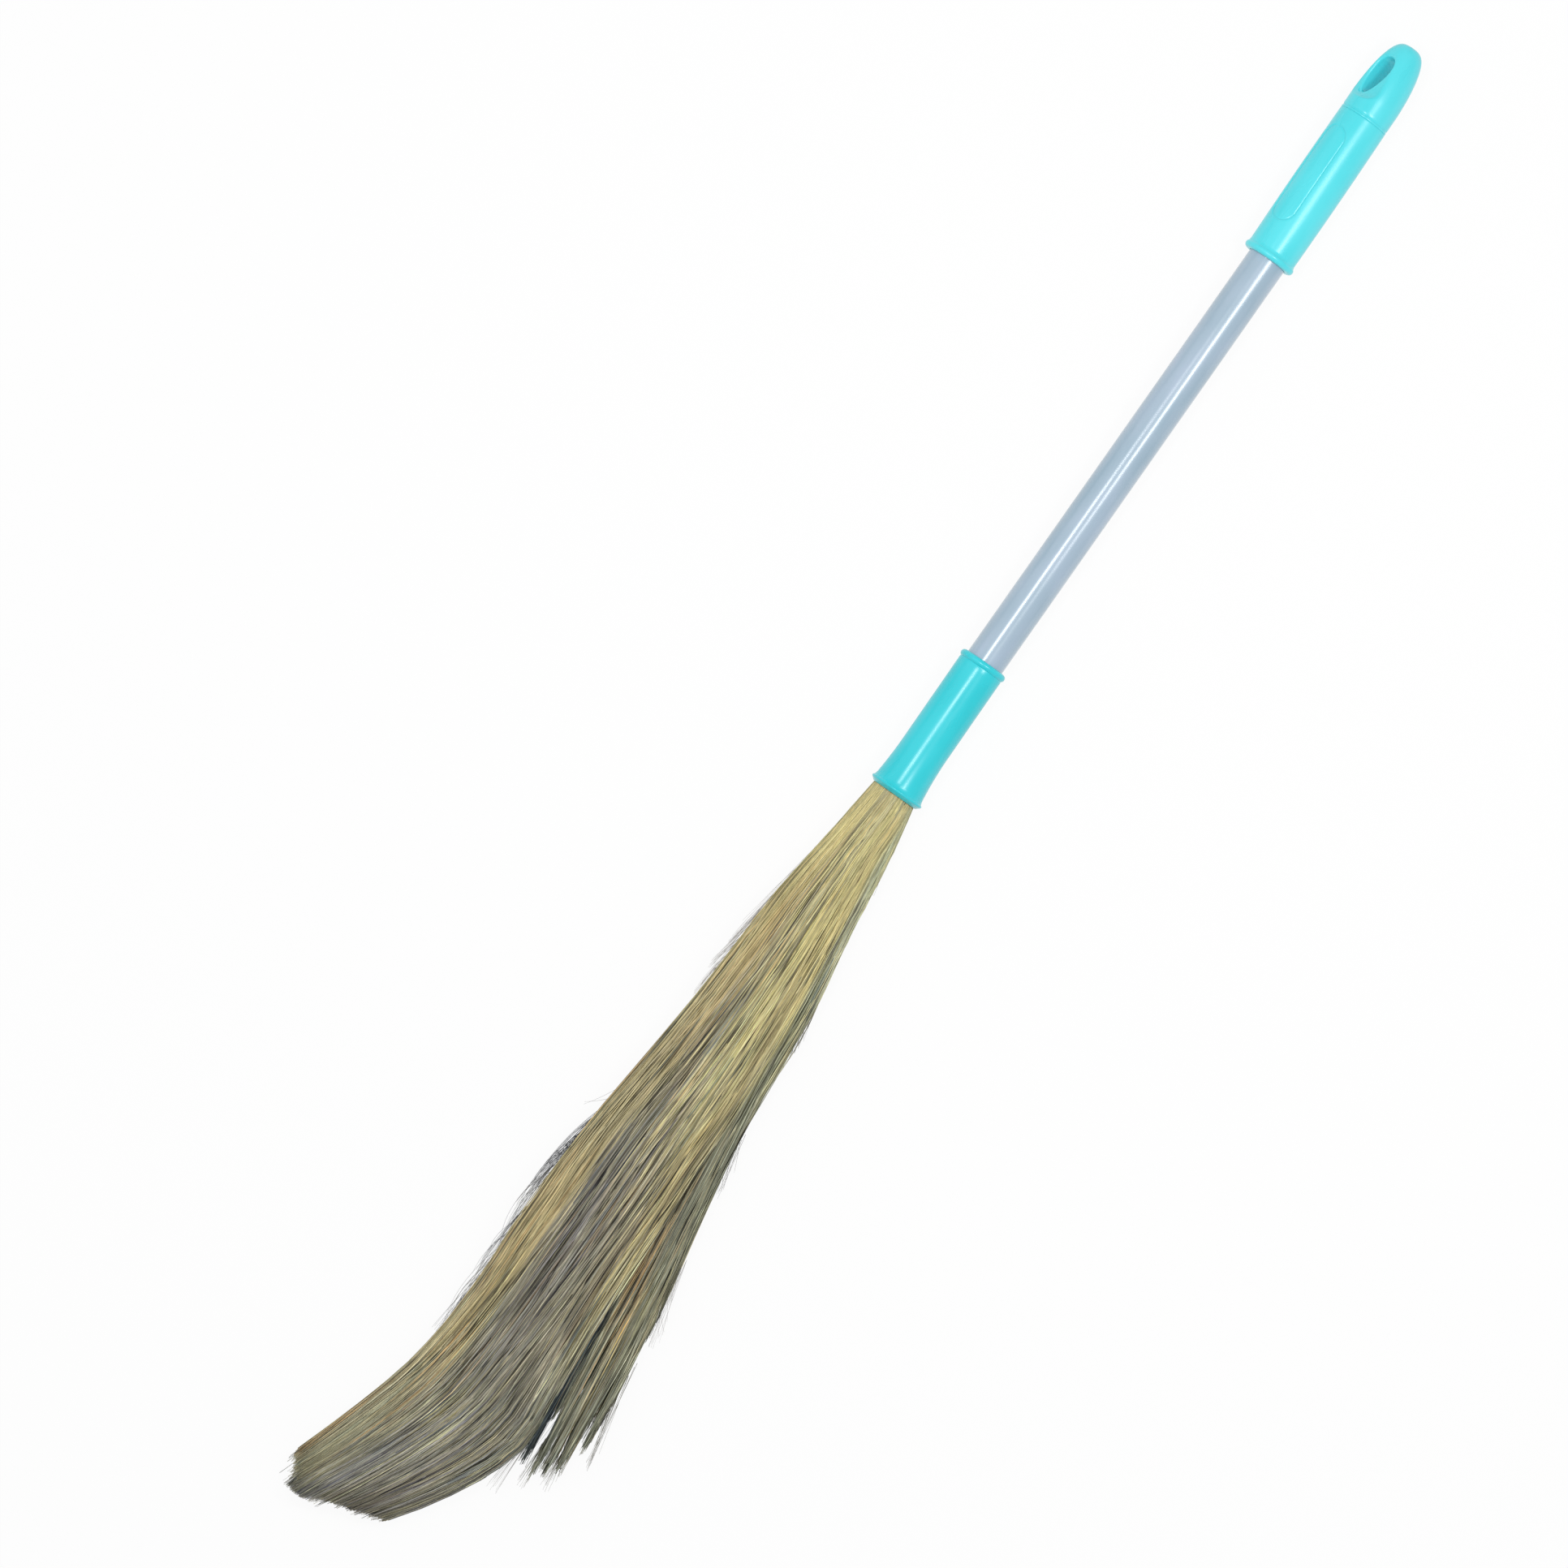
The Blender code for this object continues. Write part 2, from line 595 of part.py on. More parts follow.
def straw(broom):
    chance = random.Random(7)
    middle = CORE_RADIUS + (BUNDLE_RADIUS - CORE_RADIUS) * INNER_RING_SHARE
    rings = (
        ("straw_inner", INNER_TUFTS, (CORE_RADIUS, middle - CLEARANCE / 2, INNER_ROWS)),
        ("straw_outer", OUTER_TUFTS, (middle + CLEARANCE / 2, BUNDLE_RADIUS, OUTER_ROWS)),
    )
    for prefix, count, ring in rings:
        sweep = math.tau / count
        for i in range(count):
            name = f"{prefix}_{i + 1:02d}"
            look = STRAW_COLOURS[i % len(STRAW_COLOURS)]
            tuft(name, broom, ring, (sweep * i, sweep), look, chance)


def set_on_floor(broom):
    """Moves the empty so that the origin is at the bottom centre of the broom's box."""
    bpy.context.view_layer.update()
    graph = bpy.context.evaluated_depsgraph_get()
    corners = []
    for obj in bpy.context.scene.objects:
        if obj.type == "EMPTY" or obj.hide_render:
            continue
        evaluated = obj.evaluated_get(graph)
        mesh = evaluated.to_mesh()
        corners += [evaluated.matrix_world @ vert.co for vert in mesh.vertices]
        evaluated.to_mesh_clear()
    low = Vector([min(corner[k] for corner in corners) for k in range(3)])
    high = Vector([max(corner[k] for corner in corners) for k in range(3)])
    broom.location = (-(low.x + high.x) / 2, -(low.y + high.y) / 2, -low.z)
    print("box", [round(1000 * side, 1) for side in high - low], "mm")


def print_places(broom):
    """The places that a record of the broom states, in world metres."""
    bpy.context.view_layer.update()
    world = broom.matrix_world
    eye = Vector((JOINT + EYE_FROM_JOINT, 0, 0))
    face = CHEEK_THICKNESS / 2
    along = Vector((JOINT + CHEEK_FROM_JOINT + CHEEK_RUNOUT_RADIUS, 0, 0))
    cheek_edge = math.sqrt(SLEEVE_RADIUS**2 - face**2)
    beside = EYE_ACROSS * ((EYE_WIDTH / 2 + EYE_EDGE_ROUND + cheek_edge) / 2)
    for name, side in (("front cheek", 1), ("back cheek", -1)):
        point = world @ (along + beside + EYE_AXIS * (side * face))
        print(name, [round(value, 6) for value in point])
    print("eye axis", [round(value, 6) for value in EYE_AXIS])
    print("axis at the mouth", [round(value, 6) for value in world @ Vector((0, 0, 0))])
    print("eye middle", [round(value, 6) for value in world @ eye])


def main():
    clear_scene()
    broom = bpy.data.objects.new("broom", None)
    bpy.context.scene.collection.objects.link(broom)
    tube = handle_tube(broom)
    grip_sleeve(broom)
    hang_end(broom)
    socket = ferrule(broom)
    plug = wedge_plug(broom)
    nail(broom, (tube, socket, plug))
    binding_wire(broom)
    straw(broom)
    set_on_floor(broom)
    print_places(broom)


main()
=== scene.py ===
"""Looks of the straw broom: fine turned mouldings, a painted tube and thousands of stalks.

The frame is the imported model's: +X runs along the handle towards the hanging end, +Y is the
side that the straw sweeps to, and +Z is up from the floor. Places along the broom are given
from the ferrule's mouth, and heights and widths from the handle's axis. Sizes are in metres,
and in the part on the straw in millimetres, with places counted from the mouth to the tips.
"""

import math

import bmesh
import bpy
import numpy as np
from mathutils import Matrix, Vector


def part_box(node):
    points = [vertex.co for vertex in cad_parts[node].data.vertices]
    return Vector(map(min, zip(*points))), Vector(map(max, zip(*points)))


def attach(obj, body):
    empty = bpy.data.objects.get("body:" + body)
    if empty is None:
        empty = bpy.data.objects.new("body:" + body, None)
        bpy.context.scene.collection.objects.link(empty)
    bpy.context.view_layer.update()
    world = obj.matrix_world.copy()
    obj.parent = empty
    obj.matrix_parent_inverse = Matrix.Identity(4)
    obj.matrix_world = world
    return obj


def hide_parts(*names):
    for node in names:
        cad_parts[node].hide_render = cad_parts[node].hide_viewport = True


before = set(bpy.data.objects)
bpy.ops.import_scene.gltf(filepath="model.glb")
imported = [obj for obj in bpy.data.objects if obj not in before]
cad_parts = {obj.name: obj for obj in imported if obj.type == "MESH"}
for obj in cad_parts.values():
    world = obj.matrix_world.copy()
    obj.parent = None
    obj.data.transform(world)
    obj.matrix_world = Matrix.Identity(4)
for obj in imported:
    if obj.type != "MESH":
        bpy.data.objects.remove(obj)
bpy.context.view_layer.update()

MM = 0.001
CLEARANCE = 0.3 * MM

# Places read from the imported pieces
TUBE_LOW, TUBE_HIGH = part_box("handle_tube")
FERRULE_LOW, FERRULE_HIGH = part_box("ferrule")
SLEEVE_LOW, SLEEVE_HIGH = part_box("grip_sleeve")
HANG_LOW, HANG_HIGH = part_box("hang_end")
MOUTH = Vector((FERRULE_LOW.x, (TUBE_LOW.y + TUBE_HIGH.y) / 2, (TUBE_LOW.z + TUBE_HIGH.z) / 2))
TUBE_RADIUS = (TUBE_HIGH.z - TUBE_LOW.z) / 2
TUBE_START = TUBE_LOW.x - MOUTH.x
FERRULE_LENGTH = FERRULE_HIGH.x - MOUTH.x
SLEEVE_START = SLEEVE_LOW.x - MOUTH.x
SLEEVE_END = SLEEVE_HIGH.x - MOUTH.x
JOINT = SLEEVE_END + CLEARANCE
HANG_END = HANG_HIGH.x - MOUTH.x
SEAT_RADIUS = TUBE_RADIUS + CLEARANCE

# Camera: straight above, far away with a long lens, and turned, so that the handle runs to
# the right and up in the picture by these shares of its length
VIEW_WIDTH = 840 * MM
VIEW_CENTRE = MOUTH + Vector((-29.2 * MM, 50.65 * MM, 0))
VIEW_DISTANCE = 4.0
SENSOR = 36.0
AXIS_RIGHT = 0.57467735
AXIS_UP = 0.81838007

# Facets of the turned mouldings
ROUND_SIDES = 160
SHARP_ANGLE = math.radians(50)


def to_linear(*colour):
    """A colour as it shows on a screen, from 0 to 255, in linear light."""
    shares = [channel / 255 for channel in colour]
    return [s / 12.92 if s <= 0.04045 else ((s + 0.055) / 1.055) ** 2.4 for s in shares]


def ease(value, low, high):
    """From 0 to 1 as a value, or an array, goes from low to high."""
    share = np.clip((value - low) / (high - low), 0, 1)
    return share * share * (3 - 2 * share)


# Node helpers


def set_inputs(node, **values):
    """Gives inputs values or links by name, where Coat_Weight stands for Coat Weight."""
    for name, value in values.items():
        socket = node.inputs[name.replace("_", " ")]
        if isinstance(value, bpy.types.NodeSocket):
            node.id_data.links.new(value, socket)
        else:
            socket.default_value = value


def new_node(tree, kind, **values):
    node = tree.nodes.new("ShaderNode" + kind)
    set_inputs(node, **values)
    return node


def new_material(name):
    """A material and its node tree, which has a shader."""
    material = bpy.data.materials.new(name)
    material.use_nodes = True
    return material, material.node_tree


def shaded(material, **values):
    """The material, with values or links for its shader's inputs."""
    set_inputs(material.node_tree.nodes["Principled BSDF"], **values)
    return material


def noise(tree, stretch, scale, detail, roughness=0.5):
    """Noise in the piece's own space, which is stretched by a scale along each axis."""
    own = new_node(tree, "TexCoord").outputs["Object"]
    vector = new_node(tree, "Mapping", Vector=own, Scale=stretch).outputs["Vector"]
    inputs = {"Vector": vector, "Scale": scale, "Detail": detail, "Roughness": roughness}
    return new_node(tree, "TexNoise", **inputs).outputs["Fac"]


def ramp(tree, factor, stops):
    """A colour ramp through (place, colour) stops."""
    made = new_node(tree, "ValToRGB", Fac=factor)
    elements = made.color_ramp.elements
    while len(elements) < len(stops):
        elements.new(0.5)
    for element, (at, colour) in zip(elements, stops):
        element.position = at
        element.color = (*colour, 1.0)
    return made.outputs["Color"]


def screen_ramp(tree, factor, places, hues):
    """A colour ramp through colours as they show on a screen."""
    return ramp(tree, factor, [(at, to_linear(*hue)) for at, hue in zip(places, hues)])


def map_range(tree, value, to_low, to_high, low=0.3, high=0.7):
    """A value, with low to high stretched to another range, by default noise's main part."""
    ends = {"From_Min": low, "From_Max": high, "To_Min": to_low, "To_Max": to_high}
    return new_node(tree, "MapRange", Value=value, **ends).outputs["Result"]


def bump(tree, height, strength, distance):
    made = new_node(tree, "Bump", Height=height, Strength=strength, Distance=distance)
    return made.outputs["Normal"]


# Materials


def moulded_plastic(name, *hues):
    """Glossy moulded plastic: faint clouds of colour and a fine satin grain."""
    material, tree = new_material(name)
    clouds = noise(tree, (1, 3, 3), 22, 3)
    return shaded(
        material, Base_Color=screen_ramp(tree, clouds, (0.3, 0.5, 0.72), hues),
        Roughness=map_range(tree, clouds, 0.25, 0.32), Coat_Weight=0.12, Coat_Roughness=0.13,
        Normal=bump(tree, noise(tree, (1, 1, 1), 500, 2), 0.02, 0.01 * MM),
    )


def painted_steel():
    """Grey-blue enamel over drawn steel: soft patches of hue, streaks, and a clear gloss."""
    material, tree = new_material("tube_enamel")
    patches = noise(tree, (0.6, 2.5, 2.5), 40, 3)
    hues = ((149, 174, 191), (158, 180, 197), (165, 184, 203))
    streaks = noise(tree, (0.25, 1, 1), 260, 2)
    return shaded(
        material, Base_Color=screen_ramp(tree, patches, (0.3, 0.5, 0.7), hues),
        Roughness=map_range(tree, streaks, 0.28, 0.36), Coat_Weight=1.0, Coat_Roughness=0.19,
    )


def turned_wood():
    """Pale dowel wood with its grain along the handle."""
    material, tree = new_material("plug_wood")
    grain = noise(tree, (0.12, 1, 1), 500, 4, 0.6)
    browns = ((0.3, (0.30, 0.18, 0.08)), (0.5, (0.52, 0.36, 0.19)), (0.7, (0.62, 0.45, 0.26)))
    return shaded(
        material, Base_Color=ramp(tree, grain, browns), Roughness=0.65, Specular_IOR_Level=0.3,
        Normal=bump(tree, grain, 0.3, 0.1 * MM),
    )


def drawn_steel():
    """Bare drawn steel with dull spots."""
    material, tree = new_material("drawn_steel")
    spots = noise(tree, (1, 1, 1), 700, 3)
    greys = ((0.35, (0.30, 0.29, 0.28)), (0.6, (0.58, 0.58, 0.59)))
    return shaded(
        material, Base_Color=ramp(tree, spots, greys), Metallic=1.0,
        Roughness=map_range(tree, spots, 0.28, 0.5),
    )


def dry_grass():
    """Stalk skin: each stalk's own colour, mottled in fine lines that run along it."""
    material, tree = new_material("dry_grass")
    own = new_node(tree, "Attribute")
    own.attribute_name = "stalk_colour"
    lines = noise(tree, (0.10, 1, 1), 1400, 3, 0.65)
    mottled = new_node(tree, "VectorMath")
    mottled.operation = "SCALE"
    set_inputs(mottled, Vector=own.outputs["Color"], Scale=map_range(tree, lines, 0.78, 1.22))
    return shaded(
        material, Base_Color=mottled.outputs["Vector"], Specular_IOR_Level=0.35,
        Roughness=map_range(tree, lines, 0.7, 0.5),
    )


# Mesh helpers


def put(name, data):
    """A new object in the scene, made of a mesh, a lamp or a camera."""
    made = bpy.data.objects.new(name, data)
    bpy.context.scene.collection.objects.link(made)
    return made


def add_piece(name, mesh, material, slot, *nodes):
    """A piece that rides with the broom and stands for CAD nodes."""
    piece = put(name, mesh)
    mesh.materials.append(material)
    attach(piece, "root")
    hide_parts(*nodes)
    return piece


def mesh_from(name, bm):
    """A smooth mesh in the model's place, of a bmesh whose places start from the mouth."""
    bmesh.ops.recalc_face_normals(bm, faces=bm.faces)
    mesh = bpy.data.meshes.new(name)
    bm.to_mesh(mesh)
    bm.free()
    mesh.transform(Matrix.Translation(MOUTH))
    mesh.shade_smooth()
    mesh.set_sharp_from_angle(angle=SHARP_ANGLE)
    return mesh


def add_solid(name, bm, material, slot, node):
    return add_piece(name, mesh_from(name, bm), material, slot, node)


def turned(outline, sides=ROUND_SIDES):
    """A bmesh turned about the handle's axis from (along, radius) points."""
    bm = bmesh.new()
    verts = [bm.verts.new((x, 0, radius)) for x, radius in outline]
    last = verts[:1] if outline[0][1] > 0 else []
    edges = [bm.edges.new(pair) for pair in zip(verts, verts[1:] + last)]
    bmesh.ops.spin(
        bm, geom=verts + edges, cent=(0, 0, 0), axis=(1, 0, 0),
        angle=math.tau, steps=sides, use_merge=True,
    )
    bmesh.ops.remove_doubles(bm, verts=bm.verts, dist=0.002 * MM)
    return bm


def lofted(loops):
    """A closed bmesh through loops of points, with a face over each end."""
    bm = bmesh.new()
    rings = [[bm.verts.new(point) for point in loop] for loop in loops]
    for ring, following in zip(rings, rings[1:]):
        for i, vert in enumerate(ring):
            bm.faces.new((ring[i - 1], vert, following[i], following[i - 1]))
    bm.faces.new(rings[0])
    bm.faces.new(rings[-1])
    return bm


def off_axis(vert):
    """How far a corner lies from the handle's axis."""
    return math.hypot(vert.co.y, vert.co.z)


def draw_in(vert, share):
    """Moves a corner to a share of its distance from the handle's axis."""
    vert.co.y *= share
    vert.co.z *= share


def arc(x, radius, size, start, end, steps):
    """Points on a round edge about (x, radius), by degrees from +X towards the outside."""
    angles = [math.radians(start + (end - start) * i / steps) for i in range(steps + 1)]
    return [(x + size * math.cos(a), radius + size * math.sin(a)) for a in angles]


# Ferrule

FERRULE_RADIUS = SEAT_RADIUS + 1.85 * MM
SOCKET_RADIUS = FERRULE_RADIUS - 1.25 * MM
FLARE_LENGTH = 30 * MM
FLARE_RISE = 1.6 * MM
RIM_RISE = 2.75 * MM
RIM_ROUND = 0.8 * MM
RIM_FROM_MOUTH = 2.5 * MM
MOUTH_RISE = 0.1 * MM
RIM_STEP_LENGTH = 0.7 * MM
RIM_STEP_DEPTH = 0.4 * MM
FLARE_STEPS = 20
FERRULE_BEAD_LENGTH = 4.2 * MM
FERRULE_BEAD_RISE = 0.9 * MM
FERRULE_SEAT_ROUND = 0.4 * MM
MOUTH_TAPER = 12 * MM
STOP_LENGTH = 2 * MM
STOP_LIP = 1.4 * MM
MOUTH_LEAN = -1.0 * MM
LEAN_LENGTH = 75 * MM


def ferrule(plastic):
    """Flared ferrule: rim and step at the mouth, bead at the tube, stop ring inside."""
    lip = FERRULE_RADIUS + RIM_RISE - RIM_ROUND
    mouth = FERRULE_RADIUS + MOUTH_RISE
    rim = [(0.25 * MM, mouth - 0.2 * MM), (0.05 * MM, mouth), (0.08 * MM, mouth + 0.2 * MM)]
    rim += arc(RIM_FROM_MOUTH, lip, RIM_ROUND, 145, 25, 16)
    step = rim[-1][0] + RIM_STEP_LENGTH
    groove = rim[-1][1] - RIM_STEP_DEPTH
    outline = rim + [
        (rim[-1][0] + RIM_STEP_LENGTH * 0.3, groove + RIM_STEP_DEPTH * 0.3),
        (rim[-1][0] + RIM_STEP_LENGTH * 0.6, groove),
    ]
    for i in range(1, FLARE_STEPS + 1):
        along = step + (FLARE_LENGTH - step) * i / FLARE_STEPS
        outline.append((along, FERRULE_RADIUS + FLARE_RISE * (1 - i / FLARE_STEPS) ** 2))
    bead = FERRULE_BEAD_LENGTH / 2
    bead_radius = FERRULE_RADIUS + FERRULE_BEAD_RISE
    foot = FERRULE_LENGTH - FERRULE_BEAD_LENGTH - FERRULE_BEAD_RISE
    outline += [(foot - 2 * MM, FERRULE_RADIUS), (foot, FERRULE_RADIUS + 0.05 * MM)]
    outline += arc(FERRULE_LENGTH - bead, bead_radius - bead, bead, 150, 0, 20)
    outline += arc(
        FERRULE_LENGTH - FERRULE_SEAT_ROUND, SEAT_RADIUS + FERRULE_SEAT_ROUND,
        FERRULE_SEAT_ROUND, 0, -90, 4,
    )
    stop = TUBE_START - CLEARANCE
    outline += [
        (stop, SEAT_RADIUS), (stop, TUBE_RADIUS - STOP_LIP),
        (stop - STOP_LENGTH, TUBE_RADIUS - STOP_LIP), (stop - STOP_LENGTH, SOCKET_RADIUS),
        (MOUTH_TAPER, SOCKET_RADIUS),
    ]
    bm = turned(outline)
    # The outside of the mouth stands a little aside, and its socket doesn't
    for vert in bm.verts:
        if off_axis(vert) > SOCKET_RADIUS + CLEARANCE:
            share = max(1 - vert.co.x / LEAN_LENGTH, 0)
            vert.co.y += MOUTH_LEAN * share**2
    add_solid("ferrule_moulding", bm, plastic, "ferrule_plastic", "ferrule")


# Handle tube

TUBE_WALL = 0.8 * MM
TUBE_RINGS = 30


def handle_tube(enamel):
    """Thin tube, with the outer edges of its ends taken off."""
    start = TUBE_START
    end = TUBE_HIGH.x - MOUTH.x
    bore = TUBE_RADIUS - TUBE_WALL
    edge = TUBE_WALL / 4
    outline = [(start, bore), (start, TUBE_RADIUS - edge), (start + edge, TUBE_RADIUS)]
    for i in range(1, TUBE_RINGS):
        outline.append((start + (end - start) * i / TUBE_RINGS, TUBE_RADIUS))
    outline += [(end - edge, TUBE_RADIUS), (end, TUBE_RADIUS - edge), (end, bore)]
    add_solid("painted_tube", turned(outline), enamel, "tube_paint", "handle_tube")


# Grip sleeve, with its sunk panel

SLEEVE_WALL = 2.8 * MM
SLEEVE_RADIUS = SEAT_RADIUS + SLEEVE_WALL
SLEEVE_SWELL = 0.3 * MM
SLEEVE_ROUND = 0.25 * MM
SLEEVE_BEAD_LENGTH = 4.2 * MM
SLEEVE_BEAD_RISE = 1.1 * MM
PANEL_LENGTH = 60 * MM
PANEL_WIDTH = 15.6 * MM
PANEL_DEPTH = 0.4 * MM
PANEL_EDGE = 0.35 * MM
# A fine groove round the panel
PANEL_LINE_DEPTH = 0.28 * MM
PANEL_LINE_WIDTH = 0.42 * MM
PANEL_FROM_JOINT = 40.5 * MM
PANEL_TURN = math.radians(40)
SLEEVE_SIDES = 240
SLEEVE_RINGS = 230
HANDLE_LEAN = 1.55 * MM


def panel_sink(x, angle):
    """How deep the sleeve's skin lies below its round at a place along it and round it."""
    straight = (PANEL_LENGTH - PANEL_WIDTH) / 2
    beyond = max(abs(x - (JOINT - PANEL_FROM_JOINT)) - straight, 0)
    # Less than zero inside the panel, which has round ends
    away = math.hypot(beyond, SLEEVE_RADIUS * (angle - PANEL_TURN)) - PANEL_WIDTH / 2
    line = PANEL_LINE_DEPTH * math.exp(-(away / PANEL_LINE_WIDTH) ** 2)
    return PANEL_DEPTH * ease(0.5 - away / PANEL_EDGE, 0, 1) + line


def handle_lean(x):
    """How far the sleeve and the hanging end stand aside of the tube's line."""
    return HANDLE_LEAN * max(x - SLEEVE_START, 0) / (HANG_END - SLEEVE_START)


def grip_sleeve(plastic):
    """Slightly swollen sleeve with a bead at its lower end, and its panel sunk in."""
    bead = SLEEVE_BEAD_LENGTH / 2
    flat = SLEEVE_RADIUS + SLEEVE_BEAD_RISE - bead
    outer = arc(SLEEVE_START + bead, flat, bead, 180, 40, 18)
    body_start = SLEEVE_START + SLEEVE_BEAD_LENGTH + SLEEVE_BEAD_RISE
    body_length = SLEEVE_END - SLEEVE_ROUND - body_start
    for i in range(SLEEVE_RINGS):
        share = i / SLEEVE_RINGS
        swell = SLEEVE_SWELL * math.sin(math.pi * share)
        outer.append((body_start + body_length * share, SLEEVE_RADIUS + swell))
    outer += arc(
        SLEEVE_END - SLEEVE_ROUND, SLEEVE_RADIUS - SLEEVE_ROUND,
        SLEEVE_ROUND, 90, 0, 8,
    )
    outline = [(SLEEVE_START, SEAT_RADIUS)] + outer + [(SLEEVE_END, SEAT_RADIUS)]
    bm = turned(outline, SLEEVE_SIDES)
    for vert in bm.verts:
        radius = off_axis(vert)
        if radius > TUBE_RADIUS + SLEEVE_WALL / 2:
            sink = panel_sink(vert.co.x, math.atan2(vert.co.y, vert.co.z))
            draw_in(vert, (radius - sink) / radius)
            vert.co.y += handle_lean(vert.co.x)
    add_solid("grip_moulding", bm, plastic, "grip_plastic", "grip_sleeve")


# Hanging end

HANG_STRAIGHT_LENGTH = 11.5 * MM
NOSE_LENGTH_POWER = 1.65
NOSE_RADIUS_POWER = 3.5
NOSE_RINGS = 90
NECK_RING_LENGTH = 1.2 * MM
GROOVE_WIDTH = 1.1 * MM
GROOVE_DEPTH = 0.25 * MM
GROOVE_START = JOINT + NECK_RING_LENGTH
CAP_START = GROOVE_START + GROOVE_WIDTH + 1.2 * MM
NECK_STEPS = 11
GROOVE_STEPS = 10
CAP_RINGS = 40
SPIGOT_LENGTH = 25 * MM
SPIGOT_WALL = 2.2 * MM
SPIGOT_CHAMFER = 0.8 * MM
CHEEK_THICKNESS = 20 * MM
CHEEK_FROM_JOINT = 15.5 * MM
CHEEK_RUNOUT = 8.5 * MM
CHEEK_EDGE_ROUND = 1.0 * MM
EYE_LENGTH = 23.4 * MM
EYE_WIDTH = 13.8 * MM
EYE_ASIDE = -0.4 * MM
EYE_EDGE_ROUND = 1.5 * MM
EYE_EDGE_STEPS = 12
# The eye's outline: less than 1 for fuller corners, and how it tapers and bends at its back
EYE_FULLNESS = 0.88
EYE_TAPER = 0.42
EYE_TAPER_POWER = 1.5
EYE_BEND = 3.4 * MM
EYE_POINTS = 96
EYE_FROM_JOINT = 24.0 * MM
EYE_TURN = math.radians(48)
HANG_SIDES = 256
EYE_AXIS = Vector((0, math.sin(EYE_TURN), math.cos(EYE_TURN)))
EYE_ACROSS = Vector((0, math.cos(EYE_TURN), -math.sin(EYE_TURN)))


def cheek_height(x):
    """How far the cheek's surface lies from the axis, at a place along the hanging end."""
    flat = CHEEK_THICKNESS / 2
    before = max(JOINT + CHEEK_FROM_JOINT - x, 0)
    if before >= CHEEK_RUNOUT:
        return flat + before
    return flat + CHEEK_RUNOUT - math.sqrt(CHEEK_RUNOUT**2 - before**2)


def soft_least(a, b, size):
    """The lesser of two values, rounded over where they are about alike."""
    share = max(size - abs(a - b), 0.0) / size
    return min(a, b) - share * share * size / 4


def drop(x, length, width, height):
    """A drop-shaped loop, square to the eye's axis at a height along it.

    It tapers and bends aside towards the sleeve.
    """
    points = []
    for i in range(EYE_POINTS):
        angle = math.tau * i / EYE_POINTS
        along, across = (
            math.copysign(abs(part) ** EYE_FULLNESS, part)
            for part in (math.cos(angle), math.sin(angle))
        )
        back = ((1 - along) / 2) ** EYE_TAPER_POWER
        aside = across * width / 2 * (1 - EYE_TAPER * back) + EYE_BEND * back + EYE_ASIDE
        middle = Vector((x + along * length / 2, handle_lean(x), 0))
        points.append(middle + EYE_ACROSS * aside + EYE_AXIS * height)
    return points


def eye_cutter():
    """The eye from face to face, flared over both its edges."""
    face = CHEEK_THICKNESS / 2
    half = [(face + CHEEK_RUNOUT, EYE_EDGE_ROUND * 1.01)]
    for i in range(EYE_EDGE_STEPS + 1):
        angle = math.pi / 2 * i / EYE_EDGE_STEPS
        depth = EYE_EDGE_ROUND * (1 - math.cos(angle))
        half.append((face - depth, EYE_EDGE_ROUND * (1 - math.sin(angle))))
    stations = half + [(-height, grow) for height, grow in reversed(half)]
    middle = JOINT + EYE_FROM_JOINT
    return mesh_from("eye_cutter", lofted([
        drop(middle, EYE_LENGTH + 2 * grow, EYE_WIDTH + 2 * grow, height)
        for height, grow in stations
    ]))


def hang_outline():
    """Spigot, neck ring, groove and cap, as they are before the cheeks are flattened."""
    spigot = TUBE_RADIUS - TUBE_WALL - CLEARANCE
    hollow = spigot - SPIGOT_WALL
    low = JOINT - SPIGOT_LENGTH
    neck = SLEEVE_RADIUS - GROOVE_DEPTH
    foot = JOINT - CLEARANCE * 0.95
    outline = [
        (JOINT, 0), (JOINT, hollow), (low, hollow), (low, spigot - SPIGOT_CHAMFER),
        (low + SPIGOT_CHAMFER, spigot), (foot, spigot), (foot, neck - GROOVE_DEPTH),
    ]
    # The neck ring's low round, then the groove and the shoulder of the cap
    for i in range(NECK_STEPS + 1):
        turn = math.pi * i / NECK_STEPS
        rise = GROOVE_DEPTH * (1.6 * math.sin(turn) - 0.6)
        outline.append((foot + (GROOVE_START - foot) * (1 - math.cos(turn)) / 2, neck + rise))
    for i in range(1, GROOVE_STEPS):
        rise = GROOVE_DEPTH * (1.6 * ease(i, 0, GROOVE_STEPS) - 0.6)
        outline.append((GROOVE_START + GROOVE_WIDTH * i / GROOVE_STEPS, neck + rise))
    nose_start = JOINT + HANG_STRAIGHT_LENGTH
    for i in range(CAP_RINGS):
        outline.append((CAP_START + (nose_start - CAP_START) * i / CAP_RINGS, SLEEVE_RADIUS))
    for i in range(NOSE_RINGS):
        share = math.sin(math.pi / 2 * i / NOSE_RINGS)
        radius = SLEEVE_RADIUS * (1 - share**NOSE_LENGTH_POWER) ** (1 / NOSE_RADIUS_POWER)
        outline.append((nose_start + (HANG_END - nose_start) * share, radius))
    return outline + [(HANG_END, 0)]


def flatten_cheeks(bm):
    """Draws the cap in to two flat cheeks, square to the eye's axis."""
    for vert in bm.verts:
        radius = off_axis(vert)
        if vert.co.x < CAP_START - 0.1 * MM or radius < 0.1 * MM:
            continue
        facing = abs(vert.co.dot(EYE_AXIS)) / radius
        if facing > 0.05:
            reach = soft_least(radius, cheek_height(vert.co.x) / facing, CHEEK_EDGE_ROUND)
            draw_in(vert, reach / radius)


